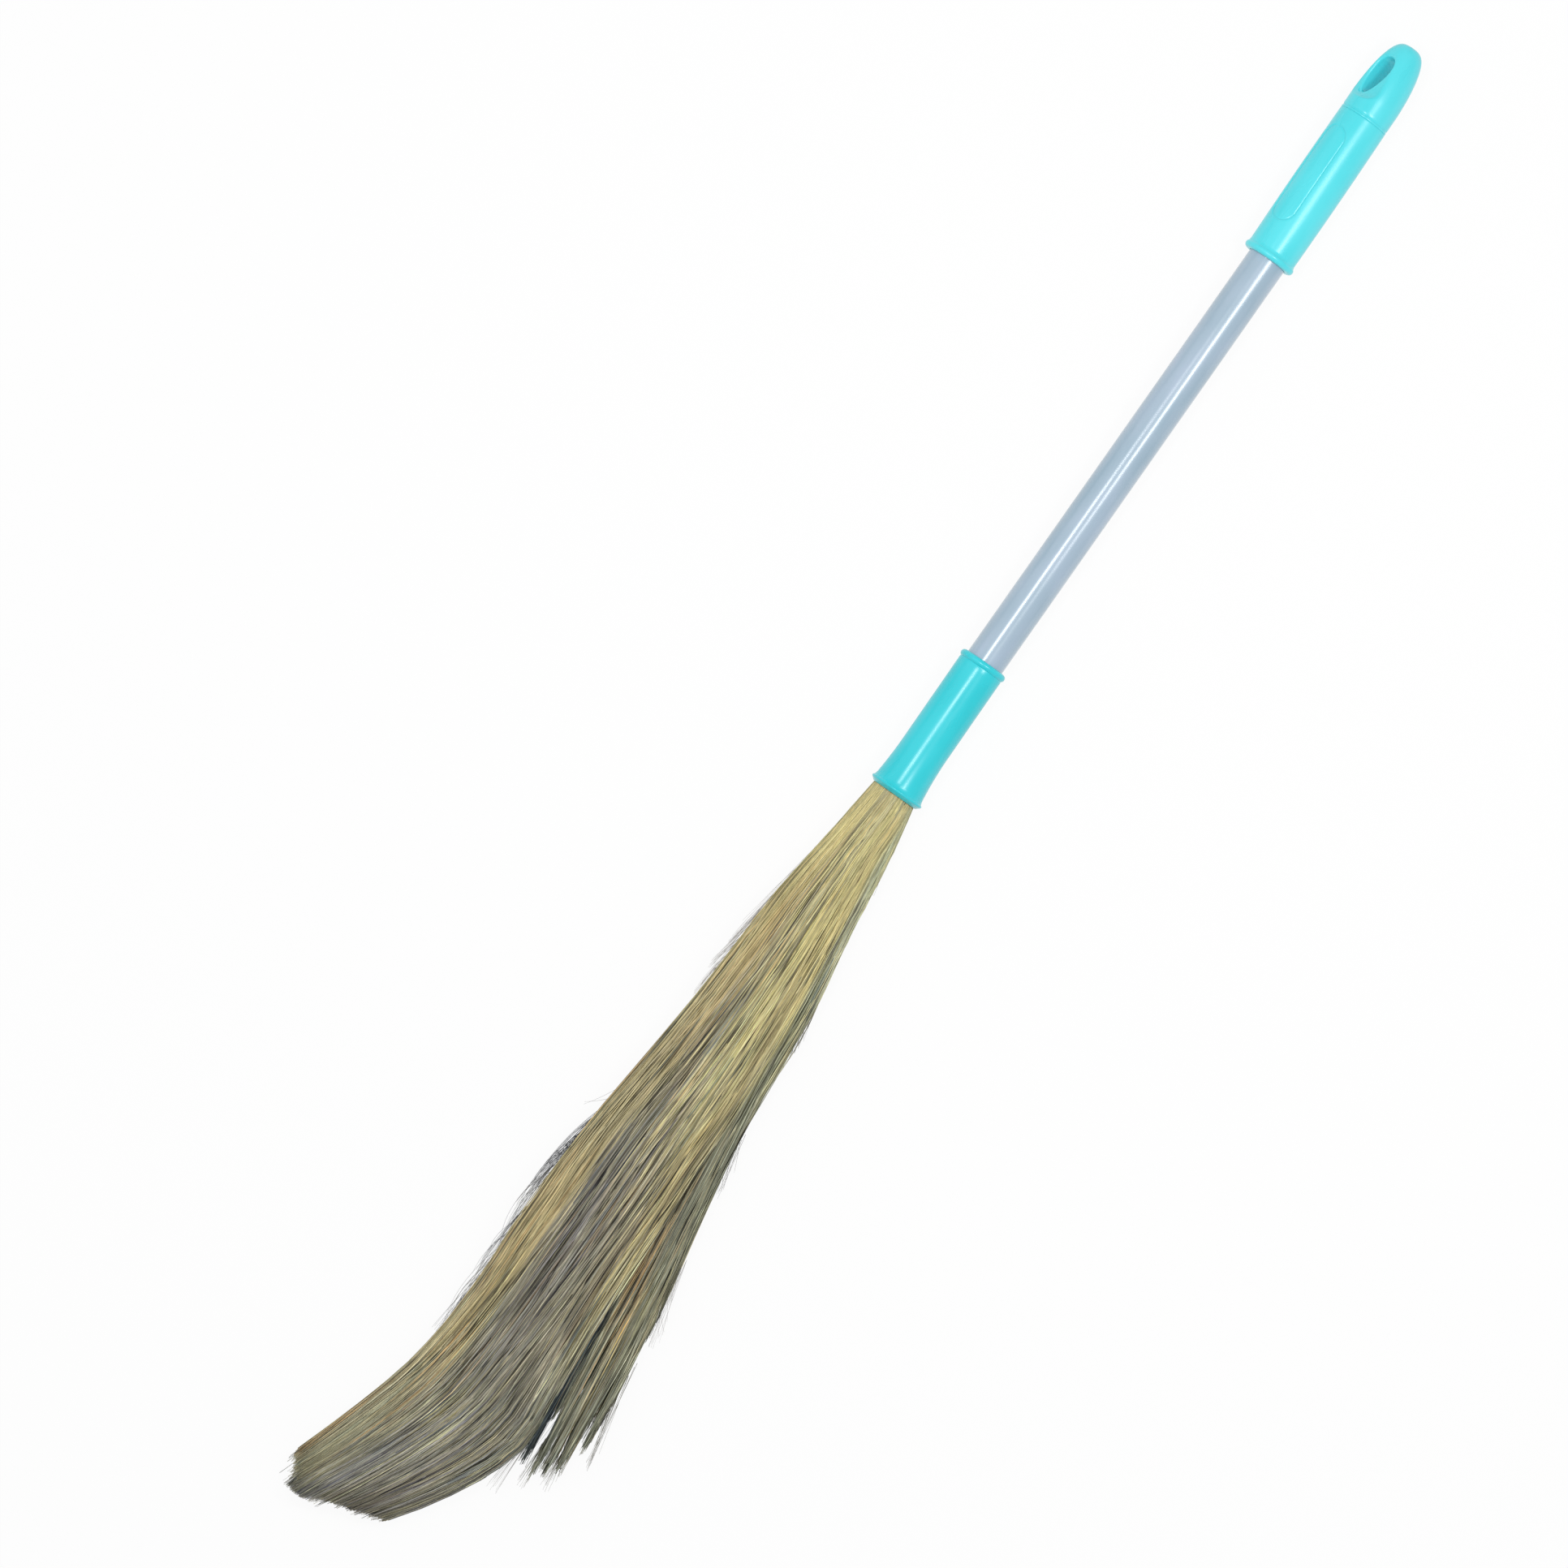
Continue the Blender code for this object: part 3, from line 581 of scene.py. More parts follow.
def cut_eye(piece):
    """Cuts the eye through the hanging end."""
    cutter = put("eye_cutter", eye_cutter())
    cut = piece.modifiers.new("eye", "BOOLEAN")
    cut.operation = "DIFFERENCE"
    cut.solver = "EXACT"
    cut.object = cutter
    bpy.context.view_layer.update()
    graph = bpy.context.evaluated_depsgraph_get()
    made = bpy.data.meshes.new_from_object(piece.evaluated_get(graph))
    made.shade_smooth()
    made.set_sharp_from_angle(angle=SHARP_ANGLE)
    piece.modifiers.clear()
    piece.data = made
    bpy.data.objects.remove(cutter)


def hang_end(plastic):
    """Cap with its spigot in the tube, two cheeks and the eye cut through them."""
    bm = turned(hang_outline(), HANG_SIDES)
    flatten_cheeks(bm)
    for vert in bm.verts:
        if vert.co.x > JOINT + 0.1 * MM or off_axis(vert) > SEAT_RADIUS:
            vert.co.y += handle_lean(vert.co.x)
    cut_eye(add_solid("hanging_moulding", bm, plastic, "grip_plastic", "hang_end"))


# Nail and binding wire

NAIL_DIAMETER = 2 * MM
NAIL_HEAD_DIAMETER = 4.8 * MM
NAIL_HEAD_HEIGHT = 0.6 * MM
NAIL_POINT_LENGTH = 2.5 * MM
NAIL_SIDES = 48


def nail(steel):
    """The nail through ferrule and tube, with a low round head."""
    low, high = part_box("ferrule_nail")
    top = high.z - MOUTH.z
    head = low.z - MOUTH.z
    shank = NAIL_DIAMETER / 2
    brim = NAIL_HEAD_DIAMETER / 2
    outline = [(-top, 0), (-top + NAIL_POINT_LENGTH, shank)]
    for share, radius in (
        (1, shank), (1, brim - 0.1 * MM), (0.8, brim), (0.5, brim), (0.15, brim * 0.8),
        (0, brim * 0.5), (0, 0),
    ):
        outline.append((-head - NAIL_HEAD_HEIGHT * share, radius))
    bm = turned(outline, NAIL_SIDES)
    turn = Matrix.Rotation(math.pi / 2, 4, "Y")
    middle = Matrix.Translation(((low.x + high.x) / 2 - MOUTH.x, 0, 0))
    bmesh.ops.transform(bm, matrix=middle @ turn, verts=bm.verts)
    add_solid("nail", bm, steel, "bare_steel", "ferrule_nail")


WIRE_DIAMETER = 1.2 * MM
WIRE_TURNS = 4
WIRE_POINTS = 72
WIRE_SIDES = 12


def binding_wire(steel):
    """One wire wound round the roots of all tufts."""
    low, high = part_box("binding_wire")
    radius = (high.z - low.z - WIRE_DIAMETER) / 2
    start = low.x - MOUTH.x + WIRE_DIAMETER / 2
    pitch = (high.x - low.x - WIRE_DIAMETER) / WIRE_TURNS
    count = WIRE_TURNS * WIRE_POINTS + 1
    points = []
    for i in range(count):
        turns = i / WIRE_POINTS
        y = radius * math.cos(math.tau * turns)
        z = radius * math.sin(math.tau * turns)
        points.append(Vector((start + pitch * turns, y, z)))
    loops = []
    for i, point in enumerate(points):
        ahead = (points[min(i + 1, count - 1)] - points[max(i - 1, 0)]).normalized()
        outward = Vector((0, point.y, point.z)).normalized()
        side = ahead.cross(outward).normalized()
        loop = []
        for k in range(WIRE_SIDES):
            angle = math.tau * k / WIRE_SIDES
            offset = outward * math.cos(angle) + side * math.sin(angle)
            loop.append(point + offset * (WIRE_DIAMETER / 2))
        loops.append(loop)
    add_solid("wound_wire", lofted(loops), steel, "bare_steel", "binding_wire")


# Straw: the fan's outline seen from above, by places along it in millimetres

OUTLINE_AT = (-14, 0, 30, 70, 120, 180, 240, 300, 350, 400, 440, 488)
LEFT_EDGE = (10, 11.8, 15.1, 20, 22.6, 26.6, 32, 32.7, 31.6, 36.8, 48.2, 64)
RIGHT_EDGE = (-10, -13.3, -19, -24.4, -32, -37.4, -46.3, -58.4, -66.4, -72, -78, -85)
# Right edge of the swept straw, which lies over the straight straw as far as the split
SWEPT_AT = (-14, 0, 36, 61, 98, 141, 187, 220, 250, 296, 335, 366, 398, 419, 440, 475, 488)
SWEPT_EDGE = (
    -9, -12.6, -14.7, -18, -22.4, -26.5, -29, -29.6, -31.2, -32.4, -34.7, -37.8,
    -40, -34.6, -24.6, -2, 8,
)
STRAIGHT_AT = (-14, 0, 100, 187, 250, 296, 335, 366, 398, 440)
STRAIGHT_EDGE = (-4.6, -6.3, -15, -21.5, -27, -30.8, -33.2, -36.4, -40.4, -43)
# Half the fan's thickness, its middle's height, and how far the straight straw lies lower
DEPTH_AT = (-14, 0, 30, 100, 260, 405, 488)
HALF_THICKNESS = (10, 12.2, 13.6, 15, 14.6, 11, 6.5)
MIDDLE_HEIGHT = (0, 0, 0.2, 0.6, -0.9, -4.6, -9)
LOWER_AT = (0, 50, 150, 300, 400)
LOWER_BY = (0.0, 1.0, 3.0, 3.0, 2.2)
# The lowest height that a stalk's middle may have, just over the floor
LOWEST = -MOUTH.z / MM + 0.65

# Across the fan a stalk's place goes from -1 at the right edge to 1 at the left one. The
# straight straw is right of the split, and the two parts open out past these places.
SPLIT = -0.46
PART_FROM = 320
PART_TO = 420
GATHER = 0.10

# Where the swept stalks end, by their place across from the split to the left edge
SWEPT_END_AT = (0.0, 0.28, 0.47, 0.56, 0.62, 0.74, 0.80, 0.87, 1.0)
SWEPT_END = (475, 481.5, 485.5, 488, 491.5, 491.5, 485, 480.5, 471.5)
# The straight straw's locks: their places from the right edge to the split, and their ends
STRAIGHT_LOCKS = np.array((0.02, 0.10, 0.34, 0.52, 0.70, 0.84, 0.95))
STRAIGHT_ENDS = np.array((312.0, 380, 396, 402, 406, 374, 404))
LOCK_SPACING = 0.09

SHELL_STALKS = 4400
INNER_STALKS = 1500
SHELL_POINTS = 42
INNER_POINTS = 14
STALK_SIDES = 3
STALK_START = -15.0
STALK_WIDTH = 0.54
WIDTH_SPREAD = 0.22
LOCKS = 90
WISPS = 2200
SPIKE_SHARE = 0.29
WAVE_ROUNDS = 2
STROKE_ROUNDS = 3
SEED = 11

# The tufts' root slices in the ferrule
ROOT_START = 14
ROOT_END = 38.4
BUNDLE_RADIUS = 10.1
CORE_RADIUS = 2.9
RING_RADIUS = CORE_RADIUS + (BUNDLE_RADIUS - CORE_RADIUS) * 0.475
ARC_STEPS = 8
INNER_TUFTS = 6
OUTER_TUFTS = 12

# Kinds of stalk by their colour against the straw's own, from a pale one to a black-brown one
TINTS = np.array((
    (1.18, 1.16, 1.10), (1.08, 1.03, 0.93), (1.00, 1.01, 0.89), (0.93, 0.98, 1.02),
    (1.04, 0.97, 0.90), (1.12, 0.94, 0.80), (0.84, 0.84, 0.94), (0.36, 0.43, 0.54),
    (0.24, 0.24, 0.27),
))
TINT_SHARES = np.array((0.17, 0.21, 0.17, 0.15, 0.11, 0.04, 0.07, 0.05, 0.03))
WARM, SLATE, GREY, DARK_BLUE = 1, 3, 6, 7
# Places across with more of one kind: from, to, how softly, the share, and the kind
KIND_PLACES = (
    (0.15, 0.60, 0.12, 0.25, GREY), (-1.0, SPLIT, 0.0001, 0.45, SLATE),
    (0.60, 1.0, 0.03, 0.45, WARM), (-0.30, -0.08, 0.06, 0.30, WARM),
)
# The straw's own colour along it, as it shows on a screen
COLOUR_AT = (-14, 0, 80, 140, 220, 300, 400, 488)
STRAW_COLOURS = (
    (200, 190, 148), (206, 197, 150), (208, 199, 150), (211, 202, 158),
    (203, 196, 160), (206, 197, 160), (204, 199, 168), (202, 198, 170),
)
# The straight straw against the rest, by places along it, and its hue: partly its own
# grey-green colour, partly painted shade where it lies lower than the swept straw
STRAIGHT_TONE_AT = (0, 60, 180, 280, 340, 420)
STRAIGHT_TONE = (1.0, 1.0, 0.72, 0.62, 0.72, 0.74)
STRAIGHT_HUE = (0.94, 1.0, 1.10)
# How light the swept straw is across, from the split to the left edge
SIDE_AT = (-0.46, -0.1, 0.3, 0.6, 1.0)
SIDE_TONE = (0.84, 0.88, 0.92, 0.98, 0.98)
# How strongly tones and strokes show, by places along the straw and across it
CONTRAST_AT = (0, 80, 160, 260, 420)
CONTRAST = (0.55, 0.7, 1.1, 1.4, 1.4)
SIDE_CONTRAST_AT = (SPLIT - 0.01, SPLIT, 0.45, 0.70)
SIDE_CONTRAST = (1.2, 1, 1, 0.68)
TIP_HUE = (0.66, 0.68, 0.78)
# Patches: from and to along the straw, from and to across it, the share of their stalks that
# have the patch's colour, and that colour against the straw's own; a few are painted shade or a
# painted highlight, as marked
COLOUR_PATCHES = (
    (250, 395, -0.24, 0.58, 1, (0.75, 0.77, 0.94)),
    (190, 300, -0.1, 0.5, 0.4, (0.8, 0.83, 0.96)),
    (260, 410, 0.64, 1, 1, (1.04, 1.01, 0.96)),
    (85, 175, 0.35, 1, 1, (0.97, 0.95, 0.98)),
    (185, 262, 0.35, 1, 1, (0.88, 0.87, 0.87)),
    (190, 262, -0.3, 0.02, 1, (1.16, 1.16, 1.11)),
    (190, 262, 0.02, 0.35, 1, (1.44, 1.37, 1.22)),
    (280, 345, -0.46, -0.1, 1, (1.32, 1.33, 1.32)),
    (345, 420, -0.46, -0.1, 1, (1.12, 1.13, 1.12)),
    (405, 445, -0.2, 0.5, 1, (1.26, 1.26, 1.24)),
    (75, 175, -0.46, 0.35, 1, (1.2, 1.2, 1.18)),
    (40, 105, -1, -0.46, 1, (1.06, 1.09, 1.23)),
    (430, 490, -0.3, 0.55, 0.9, (0.8, 0.81, 0.96)),
    (390, 438, 0.7, 0.79, 0.6, (1.24, 0.98, 0.78)),
    (438, 480, 0.92, 1, 0.8, (1.12, 0.95, 0.8)),
    (410, 480, 0.76, 0.89, 0.7, (0.94, 1, 1.04)),
    (405, 445, 0.6, 1, 1, (0.87, 0.89, 0.94)),
    (385, 435, 0.36, 0.48, 0.6, (1.28, 1.22, 0.9)),
    (430, 482, 0.3, 0.55, 0.5, (0.8, 0.82, 1)),
    (420, 478, -0.46, 0.1, 0.5, (0.72, 0.74, 0.92)),
    (420, 478, -0.46, -0.41, 0.6, (0.6, 0.62, 0.92)),
    (205, 290, -0.44, -0.1, 0.5, (0.95, 0.9, 0.8)),
    (335, 420, -0.46, -0.2, 0.8, (0.78, 0.82, 0.94)),
    (60, 240, 0.3, 0.6, 0.25, (0.7, 0.79, 1)),
    (40, 170, 0.5, 0.75, 0.4, (1.04, 0.95, 0.92)),
    (245, 292, -0.63, -0.54, 0.7, (1.45, 1.08, 0.84)),
    (290, 325, -0.73, -0.64, 0.6, (1.45, 1.1, 0.84)),
    (325, 355, -0.8, -0.71, 0.5, (1.35, 1.12, 0.84)),
    # Painted shade of the gap between the swept and the straight straw, partly dark stalks
    (312, 398, -0.53, -0.465, 0.9, (0.3, 0.34, 0.42)),
    # Painted highlight: a pale blue-grey stripe along the straight straw by the split
    (85, 135, -0.62, -0.465, 0.6, (0.92, 1.02, 1.25)),
    # Painted shadow along the step where the swept straw's edge stands over the lower straight
    # straw
    (120, 262, -0.53, -0.465, 0.5, (0.36, 0.42, 0.52)),
    (15, 60, -0.6, -0.465, 0.4, (0.55, 0.55, 0.62)),
    (35, 120, -0.95, -0.55, 0.1, (0.45, 0.5, 0.6)),
)

# Loose stalks by the fan's edges: how many, from and to along the straw, from and to across
# it, how far they bow outwards, how far they spread, and their colour
PALE_GREY = (206, 204, 201)
MID_GREY = (150, 148, 145)
DARK_GREY = (92, 94, 99)
DULL_OLIVE = (120, 117, 98)
LOOSE_STALKS = (
    (22, 58, 116, 19, 25.4, 0.4, 1, PALE_GREY),
    (18, 92, 133, 22, 27, 0.3, 0.8, PALE_GREY),
    (14, 112, 152, 22.6, 25, 1.2, 1, PALE_GREY),
    (2, 205, 233, 28.4, 40, -1.2, 0.8, MID_GREY),
    (18, 238, 322, 31.6, 33.4, 4.6, 1.4, DARK_GREY),
    (12, 262, 300, 32.4, 37.6, 2, 1.5, MID_GREY),
    (30, 232, 284, 30.8, 36.4, 2.2, 1.8, DARK_GREY),
    (16, 286, 340, 32.2, 35, 2.4, 1.4, DARK_GREY),
    (12, 318, 376, 31.8, 32.4, 3.4, 1.3, MID_GREY),
    (8, 335, 378, 31.8, 36, 1, 1.3, DARK_GREY),
    (16, 118, 150, -32, -36.2, -0.3, 0.6, DARK_GREY),
    (9, 205, 232, -42, -47, 0.2, 0.8, MID_GREY),
    (14, 280, 318, -55, -64.5, 0, 2, PALE_GREY),
    (10, 15, 60, -14.8, -22.6, 0.2, 0.5, DULL_OLIVE),
    (14, 340, 392, -65, -73.2, 0.3, 1.2, DULL_OLIVE),
    (22, 372, 414, -57, -61, 0.2, 2.4, DULL_OLIVE),
    (20, 380, 420, -48, -49.5, 0.2, 2.2, DULL_OLIVE),
    (18, 386, 430, -41.5, -38, -0.6, 2.4, PALE_GREY),
)
LOOSE_WIDTH = 0.22


def curve(places, values, at):
    """Values on a smooth curve through values at places, for an array of places."""
    places = np.array(places, float)
    values = np.array(values, float)
    slopes = np.gradient(values, places)
    at = np.clip(at, places[0], places[-1])
    low = np.clip(np.searchsorted(places, at) - 1, 0, len(places) - 2)
    width = places[low + 1] - places[low]
    t = (at - places[low]) / width
    start = (1 + 2 * t) * (1 - t) ** 2 * values[low] + t * (1 - t) ** 2 * width * slopes[low]
    end = t**2 * (3 - 2 * t) * values[low + 1] + t**2 * (t - 1) * width * slopes[low + 1]
    return start + end


def hump(value, low, high, edge):
    """1 between low and high, and 0 an edge further out."""
    return ease(value, low - edge, low) * (1 - ease(value, high, high + edge))


def spread_spots(count, low, high, chance, jitter):
    """Spots spread evenly over a ring of the unit disc."""
    number = np.arange(count)
    radius = np.sqrt(low**2 + (high**2 - low**2) * (number + 0.5) / count)
    angle = number * math.pi * (3 - math.sqrt(5)) + chance.uniform(0, math.tau)
    spots = np.stack([radius * np.cos(angle), radius * np.sin(angle)], axis=1)
    return spots + chance.normal(0, jitter, spots.shape)


def nearest(spots, centres):
    """Which centre each spot is nearest to, among those on the same side of the split."""
    gap = np.linalg.norm(spots[:, None] - centres[None], axis=2)
    other = (spots[:, None, 0] > SPLIT) != (centres[None, :, 0] > SPLIT)
    return np.argmin(gap + 10 * other, axis=1)


def waves(s, ids, chance, shortest, longest):
    """Smooth swings along the stalks, the same for all stalks with one id."""
    total = np.zeros(s.shape)
    number = ids.max() + 1
    for _ in range(WAVE_ROUNDS):
        length = chance.uniform(shortest, longest, number)[ids][:, None]
        phase = chance.uniform(0, math.tau, number)[ids][:, None]
        size = chance.normal(0, 1, number)[ids][:, None]
        total += size * np.sin(math.tau * s / length + phase)
    return total / math.sqrt(WAVE_ROUNDS)


def strokes(s, ids, chance, share, shortest, longest):
    """1 where a dark stroke lies, the same for all stalks with one id; the strokes are partly
    dark stalks and partly painted shade of the gaps between stalks.
    """
    number = ids.max() + 1
    total = np.zeros(s.shape)
    for _ in range(STROKE_ROUNDS):
        middle = chance.uniform(10, 490, number)[ids][:, None]
        half = chance.uniform(shortest, longest, number)[ids][:, None] / 2
        has = (chance.uniform(0, 1, number) < share)[ids][:, None]
        total = np.maximum(total, has * (1 - ease(np.abs(s - middle) / half, 0.25, 1.0)))
    return total


def fan_place(s, across, level):
    """Distance from the axis and height of stalks, by their place across and their level."""
    swept = across[:, :1] > SPLIT
    left = curve(OUTLINE_AT, LEFT_EDGE, s)
    right = curve(OUTLINE_AT, RIGHT_EDGE, s)
    swept_edge = curve(SWEPT_AT, SWEPT_EDGE, s)
    straight_edge = curve(STRAIGHT_AT, STRAIGHT_EDGE, s)
    part = np.where(swept, (across - SPLIT) / (1 - SPLIT), (across + 1) / (SPLIT + 1))
    y = np.where(
        swept, swept_edge + (left - swept_edge) * part, right + (straight_edge - right) * part
    )
    # Each part has a rounded section of its own where the two have opened out
    parted = ease(s, PART_FROM, PART_TO)
    low = np.where(swept, right + (swept_edge - right) * parted, right)
    high = np.where(swept, left, left + (straight_edge - left) * parted)
    share = np.clip(2 * (y - low) / (high - low) - 1, -0.985, 0.985)
    half = curve(DEPTH_AT, HALF_THICKNESS, s) * np.sqrt(1 - share**2)
    z = curve(DEPTH_AT, MIDDLE_HEIGHT, s) + half * level
    z -= np.where(swept, 0, curve(LOWER_AT, LOWER_BY, s) * np.maximum(level, 0))
    return y, z


def gathered(across, s):
    """The swept stalks' places across, gathered towards the left edge past the fan's middle."""
    part = np.clip((across - SPLIT) / (1 - SPLIT), 0, 1)
    return across + GATHER * (1 - SPLIT) * ease(s, 270, 420) * 4 * part * (1 - part)


def stalk_ends(spots, chance):
    """How far along each stalk ends, and its straight lock, or -1 for a swept stalk."""
    count = len(spots)
    across = spots[:, 0]
    part = (gathered(across, 480) - SPLIT) / (1 - SPLIT)
    rough = np.where(part < 0.55, 0.9, 1.8)
    ends = np.interp(part, SWEPT_END_AT, SWEPT_END) - np.abs(chance.normal(0, 1, count)) * rough
    # A few stalks end well before the others
    short = chance.uniform(0, 1, count) < 0.08
    ends -= short * chance.uniform(3, 60, count)
    straight_part = (across + 1) / (SPLIT + 1)
    locks = np.argmin(np.abs(straight_part[:, None] - STRAIGHT_LOCKS), axis=1)
    away = np.abs(straight_part - STRAIGHT_LOCKS[locks]) / LOCK_SPACING
    straight = STRAIGHT_ENDS[locks] - 9 * away**1.5
    straight += 8 - chance.gamma(2, 6.5, count) - 2 * short * chance.uniform(0, 40, count)
    swept = across > SPLIT
    return np.where(swept, ends, straight), np.where(swept, -1, locks)


def places_across(s, start, lock_at, wisp_at, straight_lock, chance):
    """Places across the fan along the stalks, which draw together and drift on the way."""
    stalks = len(s)
    swept = (straight_lock < 0)[:, None]
    across = start + np.zeros(s.shape)
    # Locks and wisps draw together towards the tips, the straight locks most of all
    pull = curve((0, 150, 300, 488), (0, 0.10, 0.18, 0.24), s) * swept
    across += (lock_at - across) * pull
    target = STRAIGHT_LOCKS[straight_lock] * (SPLIT + 1) - 1
    across += (target[:, None] - across) * ease(s, 240, 400) * 0.50 * ~swept
    across += (wisp_at - start) * 0.25 * ease(s, 60, 260)
    # Some swept stalks drift over their neighbours, a few of them far
    roaming = np.where(chance.uniform(0, 1, stalks) < 0.25, 0.10, 0.045)
    drift = (chance.normal(0, 1, stalks) * roaming)[:, None] * ease(s, 20, 420)
    across = across + drift * swept
    low = np.where(swept, SPLIT + 0.002, -1.0)
    return gathered(np.clip(across, low, np.where(swept, 1.0, SPLIT - 0.002)), s)


def lay_stalks(spots, count, chance):
    """Middles, widths and colours of stalks that start at spots of the bundle's disc."""
    stalks = len(spots)
    own = np.arange(stalks)
    locks = spread_spots(LOCKS, SPIKE_SHARE, 1.0, chance, 0.02)
    wisps = spread_spots(WISPS, SPIKE_SHARE, 1.0, chance, 0.015)
    lock = nearest(spots, locks)
    wisp = nearest(spots, wisps)
    ends, straight_lock = stalk_ends(spots, chance)

    # Points lie closer together near the mouth
    share = np.linspace(0, 1, count)[None]
    share = 0.7 * share + 0.3 * share**2
    s = STALK_START + (ends[:, None] - STALK_START) * share
    level = spots[:, 1:] / np.sqrt(np.maximum(1 - spots[:, :1] ** 2, 0.02))
    level = np.clip(level, -1, 1) + np.zeros(s.shape)
    across = places_across(
        s, spots[:, :1], locks[lock][:, :1], wisps[wisp][:, :1], straight_lock, chance
    )

    # Swings of locks, wisps and single stalks, which are held back by the fan's edges
    y, z = fan_place(s, across, level)
    grow = ease(s, 0, 260)
    swept = straight_lock[:, None] < 0
    rim = np.where(swept, np.minimum(1 - across, across - SPLIT), across + 1)
    free = 0.35 + 0.65 * ease(rim, 0, 0.12)
    y += waves(s, lock, chance, 180, 420) * 0.9 * grow * free
    y += waves(s, wisp, chance, 150, 340) * 0.5 * grow * free
    crossing = np.where(chance.uniform(0, 1, stalks) < 0.35, 1.5, 0.45)[:, None]
    y += waves(s, own, chance, 130, 260) * crossing * ease(s, 0, 140) * free
    z += waves(s, lock, chance, 160, 380) * 0.3 * grow
    z += waves(s, wisp, chance, 200, 400) * 0.35 * grow
    z += waves(s, own, chance, 90, 220) * 0.80 * ease(s, 0, 140)
    crimp = hump(s, 25, 110, 25) * 0.12
    y += waves(s, own, chance, 18, 30) * crimp
    z += waves(s, own, chance, 18, 30) * crimp
    z = np.maximum(z, LOWEST)

    width = STALK_WIDTH * np.exp(chance.normal(0, WIDTH_SPREAD, stalks))[:, None]
    width = width * np.interp(share, (0, 0.12, 0.75, 1), (0.7, 1, 0.95, 0.4))
    middles = np.stack([-s, y, z], axis=2)
    colours = stalk_colours(s, spots, lock, wisp, straight_lock, chance)
    return middles, width, colours


def stalk_kinds(spots, lock, straight_lock, chance):
    """Which tint each stalk has: mostly by chance, and by its place in the fan."""
    stalks = len(spots)
    kind = chance.choice(len(TINTS), stalks, p=TINT_SHARES)
    # A lock has more of one kind, but never of the dark ones
    common = TINT_SHARES[:-2] / sum(TINT_SHARES[:-2])
    lock_kind = chance.choice(len(common), LOCKS, p=common)
    kind = np.where(chance.uniform(0, 1, stalks) < 0.3, lock_kind[lock], kind)
    across = spots[:, 0]
    draw = chance.uniform(0, 1, stalks)
    for low, high, edge, share, common_here in KIND_PLACES:
        near = hump(across, low, high, edge) > 0.5
        kind = np.where(near & (draw < share), common_here, kind)
        draw = (draw + 0.37) % 1.0
    # The straight lock by the split is nearly all dark: partly dark stalks, partly painted
    # shade of the gap along the split
    by_split = straight_lock == len(STRAIGHT_LOCKS) - 1
    return np.where(by_split & (draw < 0.8), DARK_BLUE, kind)


def stalk_colours(s, spots, lock, wisp, straight_lock, chance):
    """Linear colours along the stalks: the straw's own, with tints, tones and dark strokes, and
    painted shade in the strokes, in patches and on the lower straight straw, and a painted
    highlight in one patch.
    """
    stalks = len(spots)
    own = np.arange(stalks)
    screen = [curve(COLOUR_AT, [c[k] for c in STRAW_COLOURS], s) / 255 for k in range(3)]
    # Each stalk has two kinds of tint, and turns from one to the other
    one, other = (
        TINTS[stalk_kinds(spots, lock, straight_lock, chance)][:, None] for _ in range(2)
    )
    turn = ease(waves(s, own, chance, 80, 240), -0.3, 0.3)[..., None]
    colours = np.stack(screen, axis=2) ** 2.2 * (one + (other - one) * turn)
    contrast = np.interp(s, CONTRAST_AT, CONTRAST)
    contrast *= np.interp(spots[:, :1], SIDE_CONTRAST_AT, SIDE_CONTRAST)
    tone = np.zeros(s.shape)
    for ids, count, spread in ((own, stalks, 0.13), (wisp, WISPS, 0.07), (lock, LOCKS, 0.04)):
        tone += chance.normal(0, spread, count)[ids][:, None]
    tone += 0.20 * waves(s, own, chance, 30, 110)
    part_of_wisp = chance.uniform(0, 1, stalks)[:, None]
    # Dark strokes: partly dark stalks, partly painted shade in the gaps between stalks
    tone -= 0.6 * strokes(s, wisp, chance, 0.22, 30, 100) * part_of_wisp**0.6
    tone -= 1.6 * strokes(s, own, chance, 0.50, 24, 90)
    colours *= 0.97 * np.exp(tone * contrast)[..., None]
    across = gathered(spots[:, :1], s)
    for start, end, low, high, share, hue in COLOUR_PATCHES:
        chosen = (chance.uniform(0, 1, stalks) < share)[:, None]
        shift = chance.normal(0, 16, stalks)[:, None]
        near = chosen * hump(s + shift, start, end, 24) * hump(across, low, high, 0.015)
        colours *= 1 + near[..., None] * (np.array(hue) - 1)
    side = 1 + (np.interp(across, SIDE_AT, SIDE_TONE) - 1) * ease(s, 0, 120)
    # The straight straw darker and bluer: partly its own colour, partly painted shade of the
    # lower layer
    dull = curve(STRAIGHT_TONE_AT, STRAIGHT_TONE, s)[..., None] * np.array(STRAIGHT_HUE)
    colours *= np.where((across < SPLIT)[..., None], dull, side[..., None])
    tips = ease(s, 484, 490) * hump(across, 0.50, 0.64, 0.05)
    colours *= 1 + tips[..., None] * (np.array(TIP_HUE) - 1)
    return np.clip(colours, 0.004, 0.95)


